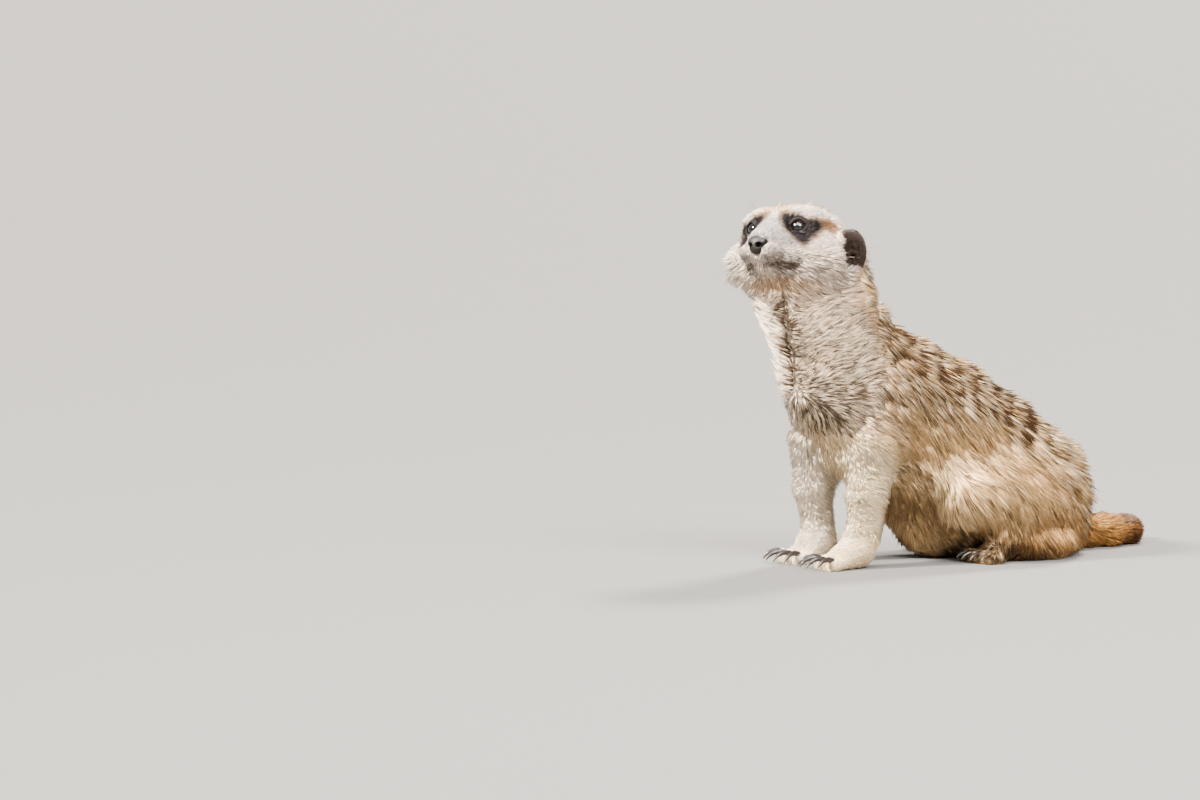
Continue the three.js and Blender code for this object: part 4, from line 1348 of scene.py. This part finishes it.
def unwrapped(skin, face):
    """Where each face of the skin lies on an unwrap of just these faces."""
    used, back = np.unique(face, return_inverse=True)
    vertex, local = np.unique(triangles_of(skin)[used], return_inverse=True)
    patch = new_mesh("unwrap", points_of(skin)[vertex], local.reshape(-1, 3), smooth=False)
    bpy.context.view_layer.objects.active = patch
    for piece in bpy.context.selected_objects:
        piece.select_set(False)
    patch.select_set(True)
    bpy.ops.object.mode_set(mode="EDIT")
    bpy.ops.mesh.select_all(action="SELECT")
    bpy.ops.uv.smart_project(angle_limit=radians(UV_ANGLE), island_margin=UV_MARGIN)
    bpy.ops.object.mode_set(mode="OBJECT")
    spread = values_of(patch.data.uv_layers.active.data, "uv", 2)
    bpy.data.objects.remove(patch)
    return spread.reshape(-1, 3, 2).mean(1)[back]


def make_coat_piece(name, skin, face, made, colours):
    """One piece of the coat from its tufts' points and colours."""
    faces = (TUFT_FACES[None] + 4 * np.arange(len(made))[:, None, None]).reshape(-1, 3)
    piece = new_mesh(name, made.reshape(-1, 3), faces)
    paint(piece, colours.reshape(-1, 3), "fur")
    spots = np.clip(unwrapped(skin, face), UV_PATCH, 1 - UV_PATCH)
    spread = spots[:, None, None, :] + (TUFT_SPREAD * UV_PATCH)[TUFT_FACES][None]
    layer = piece.data.uv_layers.new(name="OFBake")
    layer.data.foreach_set("uv", spread.astype(FLOAT).ravel())
    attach(piece, "root")


def make_coat(skin):
    face, root, normal = sow(skin)
    run, measures = coat_at(root)
    lead, strand = led(root, LOCK_TUFTS), led(root, STRAND_TUFTS)
    clump = ramp(measures[:, LENGTH], *CLUMPED)
    colours = tuft_colours(root, lead, strand, clump)
    bend, tip, width = tuft_shapes(root, normal, run, clump, measures)
    bend, tip = gathered(root, bend, tip, lead, strand, clump, measures)
    made = tuft_points(root, normal, bend, tip, width)
    samples = [mesh_of(nodes)[0][::3] for nodes, _ in REGIONS.values()]
    label = np.repeat(np.arange(len(samples)), [len(points) for points in samples])
    label = label[nearest(root, np.concatenate(samples))]
    for number, (region, (_, slot)) in enumerate(REGIONS.items()):
        chosen = np.nonzero(label == number)[0]
        chosen = chosen[np.argsort(root[chosen] @ CUT_ALONG)]
        for part, some in enumerate(np.array_split(chosen, ceil(len(chosen) / PIECE_TUFTS))):
            make_coat_piece(f"coat_{region}_{part + 1}", skin, face[some], made[some], colours[some])


# ---------------------------------------------------------------- eyes, nose and claws

def wall(first, rings, sides):
    """The triangles between rings of points that follow each other, from the first point on."""
    faces = []
    for near in range(first, first + (rings - 1) * sides, sides):
        far = near + sides
        for turn in range(sides):
            after = (turn + 1) % sides
            faces.append((near + turn, near + after, far + after))
            faces.append((near + turn, far + after, far + turn))
    return faces


def spindle(rings, sides):
    """The triangles of a wall of rings with a point at each end, the first and the last of all."""
    faces, last = wall(1, rings, sides), 1 + (rings - 1) * sides
    for turn in range(sides):
        after = (turn + 1) % sides
        faces.append((0, 1 + after, 1 + turn))
        faces.append((last + turn, last + after, last + sides))
    return np.array(faces)


EYE_RINGS, EYE_SEGMENTS = 59, 64
PUPIL_TO, IRIS_TO, IRIS_EDGE = 31, 52, 6  # degrees from the look, and the edge's width
PUPIL_ACROSS, PUPIL_UP = 0.8, 1.15  # the pupil is wider than tall
CORNEA_RISE, CORNEA = 0.35, (46, 8)  # its height, and where it starts and is whole
PUPIL_MIDDLE, PUPIL, IRIS, EYE_RIM = tint(8, 6, 6), tint(6, 5, 5), tint(72, 40, 22), tint(26, 20, 19)


def eye_colour(angle, turn):
    """An eye's colour, by the angle from its look and the turn about it."""
    oval = angle * hypot(cos(turn) * PUPIL_ACROSS, sin(turn) * PUPIL_UP)
    if oval < PUPIL_TO:
        return PUPIL
    if angle >= IRIS_TO:
        return EYE_RIM
    streak = 0.8 + 0.4 * abs(sin(turn * 17 + 2 * sin(turn * 5)))
    lit = 0.35 + 0.75 * max(0.0, -sin(turn - 0.35))
    return IRIS * streak * lit * (1 if angle < IRIS_TO - IRIS_EDGE else 0.3)


def make_eye(node, side):
    """An eyeball of rings about its look, with a clear bulge in front and a wide brown iris."""
    centre = eye_centre(side)
    ahead, out, up = eye_axes(side)
    points, colours = [centre + ahead * (EYE_RADIUS + CORNEA_RISE)], [PUPIL_MIDDLE]
    for angle in np.linspace(0, 180, EYE_RINGS + 2)[1:-1]:
        radius = EYE_RADIUS + CORNEA_RISE * ramp(angle, *CORNEA)
        for turn in np.linspace(0, 2 * pi, EYE_SEGMENTS, endpoint=False):
            away = cos(radians(angle)) * ahead + sin(radians(angle)) * (cos(turn) * out + sin(turn) * up)
            points.append(centre + radius * away)
            colours.append(eye_colour(angle, turn))
    points.append(centre - ahead * EYE_RADIUS)
    colours.append(colours[-1])
    piece = closed_mesh("ball_" + node, from_head(points), spindle(EYE_RINGS, EYE_SEGMENTS))
    paint(piece, colours, "wet_eye")
    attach(piece, "root")
    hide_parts(node)


NOSE_CELL, NOSE_REACH = 0.22, 8.5
NOSE_TOP, NOSE_FOOT, NOSTRIL_SHADE = tint(46, 41, 41), tint(20, 15, 14), tint(8, 6, 6)
NOSE_MIDDLE = (0, -18.4, -12.6)
NOSE_GROOVE = [(0, -23.4, -12.4), (0, -22.9, -17.8)]
NOSTRIL = np.array([(2.3, -23.6, -13.6), (2.9, -20.4, -13.0), (5.6, -19.2, -11.8)])
NOSTRIL_RADIUS, GROOVE_RADIUS, GROOVE_SOFT = 1.4, 0.3, 0.6
NOSE_FADE, NOSTRIL_FADE = (-10.5, -14.5), (2.0, 1.3)


def make_nose():
    """The bare pad of the nose: a broad top, a narrow foot, nostrils like commas and a groove."""
    grid = Grid(from_head(NOSE_MIDDLE) - NOSE_REACH, from_head(NOSE_MIDDLE) + NOSE_REACH, NOSE_CELL)
    points = grid.head_points()
    field = nose_shape(points)
    for side in SIDES:
        nostril = NOSTRIL * mirror(side)
        field = carved(field, rod(points, nostril[:2], NOSTRIL_RADIUS), FINE)
        field = carved(field, rod(points, nostril[1:], FINE), FINE)
    field = carved(field, rod(points, NOSE_GROOVE, GROOVE_RADIUS), GROOVE_SOFT)
    piece = closed_mesh("nose_pad", *grid.surface(field))
    face = in_head(points_of(piece.data))
    shade = layered(NOSE_TOP, (NOSE_FOOT, ramp(face[:, 2], *NOSE_FADE)))
    # Painted shade: the nostrils are painted near-black toward their hollows.
    for side in SIDES:
        near = rod(face, NOSTRIL * mirror(side))
        shade = layered(shade, (NOSTRIL_SHADE, ramp(near, *NOSTRIL_FADE)))
    paint(piece, shade, "bare_nose")
    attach(piece, "root")
    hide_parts("nose")


CLAW_STEPS, CLAW_SIDES = 18, 14
CLAW_RADII = ((0, 0.3, 0.7, 0.92, 1), (0.95, 0.86, 0.6, 0.3, 0.1))  # along it, and there of its widest
CLAW_ACROSS, CLAW_ABOVE, CLAW_BELOW = 0.78, 1.05, 0.8
CLAW_WIDTH = {"claw_front": 2.0, "claw_hind": 1.7}
HORN, HORN_TIP_AND_HIGHLIGHT = tint(22, 19, 19), tint(70, 62, 56)


def claw_point(line, t):
    """A place along the curve that goes evenly through four places."""
    u = 3 * t
    shares = (-(u - 1) * (u - 2) * (u - 3) / 6, u * (u - 2) * (u - 3) / 2,
              -u * (u - 1) * (u - 3) / 2, u * (u - 1) * (u - 2) / 6)
    return sum(share * place for share, place in zip(shares, line))


def make_claw(node, paw, widest):
    """A claw swept along its node's curve: taller than wide, horn-dark, paler toward its tip, with a painted
    highlight along its sides.
    """
    line = claw_line(node, paw)
    points, shades = [claw_point(line, 0)], [HORN]
    for t in np.linspace(0, 1, CLAW_STEPS):
        run = unit(claw_point(line, t + 0.02) - claw_point(line, t - 0.02))
        across = unit(np.cross(run, (0, 0, 1)))
        above = np.cross(across, run)
        radius = widest * np.interp(t, *CLAW_RADII)
        for turn in np.linspace(0, 2 * pi, CLAW_SIDES, endpoint=False):
            tall = CLAW_ABOVE if sin(turn) > 0 else CLAW_BELOW
            away = CLAW_ACROSS * cos(turn) * across + tall * sin(turn) * above
            points.append(claw_point(line, t) + radius * away)
            # Paler toward the tip, as horn is, and paler along the sides as a painted highlight.
            pale = ramp(t, 0.55, 1) * 0.6 + 0.25 * abs(cos(turn))
            shades.append(HORN + (HORN_TIP_AND_HIGHLIGHT - HORN) * pale)
    points.append(claw_point(line, 1))
    shades.append(shades[-1])
    points = np.maximum(points, (-np.inf, -np.inf, FLOOR_GAP))
    piece = closed_mesh(node + "_horn", points, spindle(CLAW_STEPS, CLAW_SIDES))
    paint(piece, shades, "horn")
    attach(piece, "root")
    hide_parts(node)


# ---------------------------------------------------------------- whiskers and long stray hairs

HAIR_DARK, HAIR_PALE = tint(58, 44, 38), tint(240, 226, 204)
HAIRS = [  # places of the head, each side's: root, way, length, thickness, how many, spread, colour
    ((8.5, -13.5, -17), (0.85, 0.15, -0.3), 21, 0.2, 8, 4.0, HAIR_DARK),
    ((9.5, -8, -16), (0.9, 0.4, 0.05), 17, 0.18, 5, 3.0, HAIR_PALE),
    ((14, 3, 11), (0.5, -0.1, 0.8), 11, 0.16, 4, 2.0, HAIR_DARK),
    ((24, 14, -22), (0.75, 0.5, -0.2), 15, 0.18, 4, 4.0, HAIR_DARK),
    ((31, 18, -16), (0.5, 0.95, 0.35), 18, 0.26, 3, 3.0, HAIR_PALE),
    ((33, 34, -10), (0.35, 0.9, 0.25), 19, 0.2, 6, 4.5, HAIR_DARK),
]
HAIR_STEPS, HAIR_TURNS = 7, (0, 2.1, 4.2)
HAIR_SINK, HAIR_SAG, HAIR_TAPER = 0.6, 0.16, 1.05
HAIR_WAVER, HAIR_LENGTHS = 0.14, (0.65, 1.1)


def hair_points(root, run, sag, long, thick):
    """A thin tapering tube of three sides that bends as it goes."""
    aside = unit(np.cross(run, (0.1, 0.2, 1)))
    across = np.cross(run, aside)
    return [root + (long * t - HAIR_SINK) * run + HAIR_SAG * long * t * t * sag
            + thick / 2 * (HAIR_TAPER - t) * (cos(turn) * aside + sin(turn) * across)
            for t in np.linspace(0, 1, HAIR_STEPS) for turn in HAIR_TURNS]


def make_whiskers(skin):
    """Long hairs, each rooted in the skin."""
    points = points_of(skin)
    face = in_head(points[around_neck_cut(points) > 0])
    made, faces, shades = [], [], []
    for start, way, length, thick, count, spread, colour in HAIRS:
        for side in np.repeat(SIDES, count):
            wish = (np.array(start) + dice.normal(0, spread / 2, 3)) * mirror(side)
            root = face[np.argmin(((face - wish) ** 2).sum(1))]
            run = unit((np.array(way) + dice.normal(0, HAIR_WAVER, 3)) * mirror(side))
            sag = np.cross(run, unit(dice.normal(0, 1, 3)))
            first, last = len(made), len(made) + 3 * HAIR_STEPS - 3
            made += hair_points(root, run, sag, length * dice.uniform(*HAIR_LENGTHS), thick)
            faces += wall(first, HAIR_STEPS, 3)
            faces += [(first, first + 2, first + 1), (last, last + 1, last + 2)]
            shades += [colour] * (3 * HAIR_STEPS)
    piece = closed_mesh("whiskers", from_head(made), np.array(faces))
    paint(piece, shades, "fur")
    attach(piece, "root")


# ---------------------------------------------------------------- floor and light

FLOOR_SIZE = 40
FLOOR_COLOUR = (0.12, 0.117, 0.113, 1)
SUNS = [  # name, azimuth, elevation, strength, width in degrees, colour
    ("key", -8, 38, 23.0, 9, (1.0, 0.93, 0.84)),
    ("rim", -150, 48, 11.0, 12, (1.0, 0.93, 0.84)),
    ("fill", 86, 38, 10.0, 30, (1.0, 0.93, 0.85)),
]
SUN_DISTANCE = 3
EYE_LIGHT = (48, 52, 1.6, 60, (0.97, 0.98, 1.0))  # azimuth, elevation, distance, watts, colour
EYE_LIGHT_SIZE = 1.0
SKY, SKY_STRENGTH = (1.0, 0.97, 0.92, 1), 0.8
LIT_PLACE = Vector((0, -0.02, 0.12))


def make_floor():
    half = FLOOR_SIZE / 2 / MM
    corners = [(-half, -half, 0), (half, -half, 0), (half, half, 0), (-half, half, 0)]
    floor = new_mesh("floor", corners, np.array([(0, 1, 2, 3)]), smooth=False)
    material = new_material("floor", 0.75, 0.3)
    shader_of(material).inputs["Base Color"].default_value = FLOOR_COLOUR
    floor.data.materials.append(material)


def make_lamp(name, kind, azimuth, elevation, distance, strength, colour):
    lamp = bpy.data.objects.new(name, bpy.data.lights.new(name, kind))
    lamp.data.energy, lamp.data.color = strength, colour
    back = way_to(azimuth, elevation)
    place_looking(lamp, LIT_PLACE + back * distance, -back)
    return lamp.data


def make_lights():
    for name, azimuth, elevation, strength, width, colour in SUNS:
        sun = make_lamp(name, "SUN", azimuth, elevation, SUN_DISTANCE, strength, colour)
        sun.angle = radians(width)
    make_lamp("eye_light", "AREA", *EYE_LIGHT).size = EYE_LIGHT_SIZE
    world = bpy.data.worlds.new("studio")
    world.use_nodes = True
    sky = world.node_tree.nodes["Background"].inputs
    sky["Color"].default_value, sky["Strength"].default_value = SKY, SKY_STRENGTH
    bpy.context.scene.world = world


# ---------------------------------------------------------------- the whole

for make_material in (fur_material, skin_material, eye_material, nose_material, claw_material):
    make_material()
skin = make_skin()
paint_skin(skin)
make_coat(skin.data)
make_whiskers(skin.data)
make_eye("eye_left", 1)
make_eye("eye_right", -1)
make_nose()
for node, paw, claw, _ in CLAWS:
    make_claw(node, paw, CLAW_WIDTH[claw])
make_floor()
make_lights()
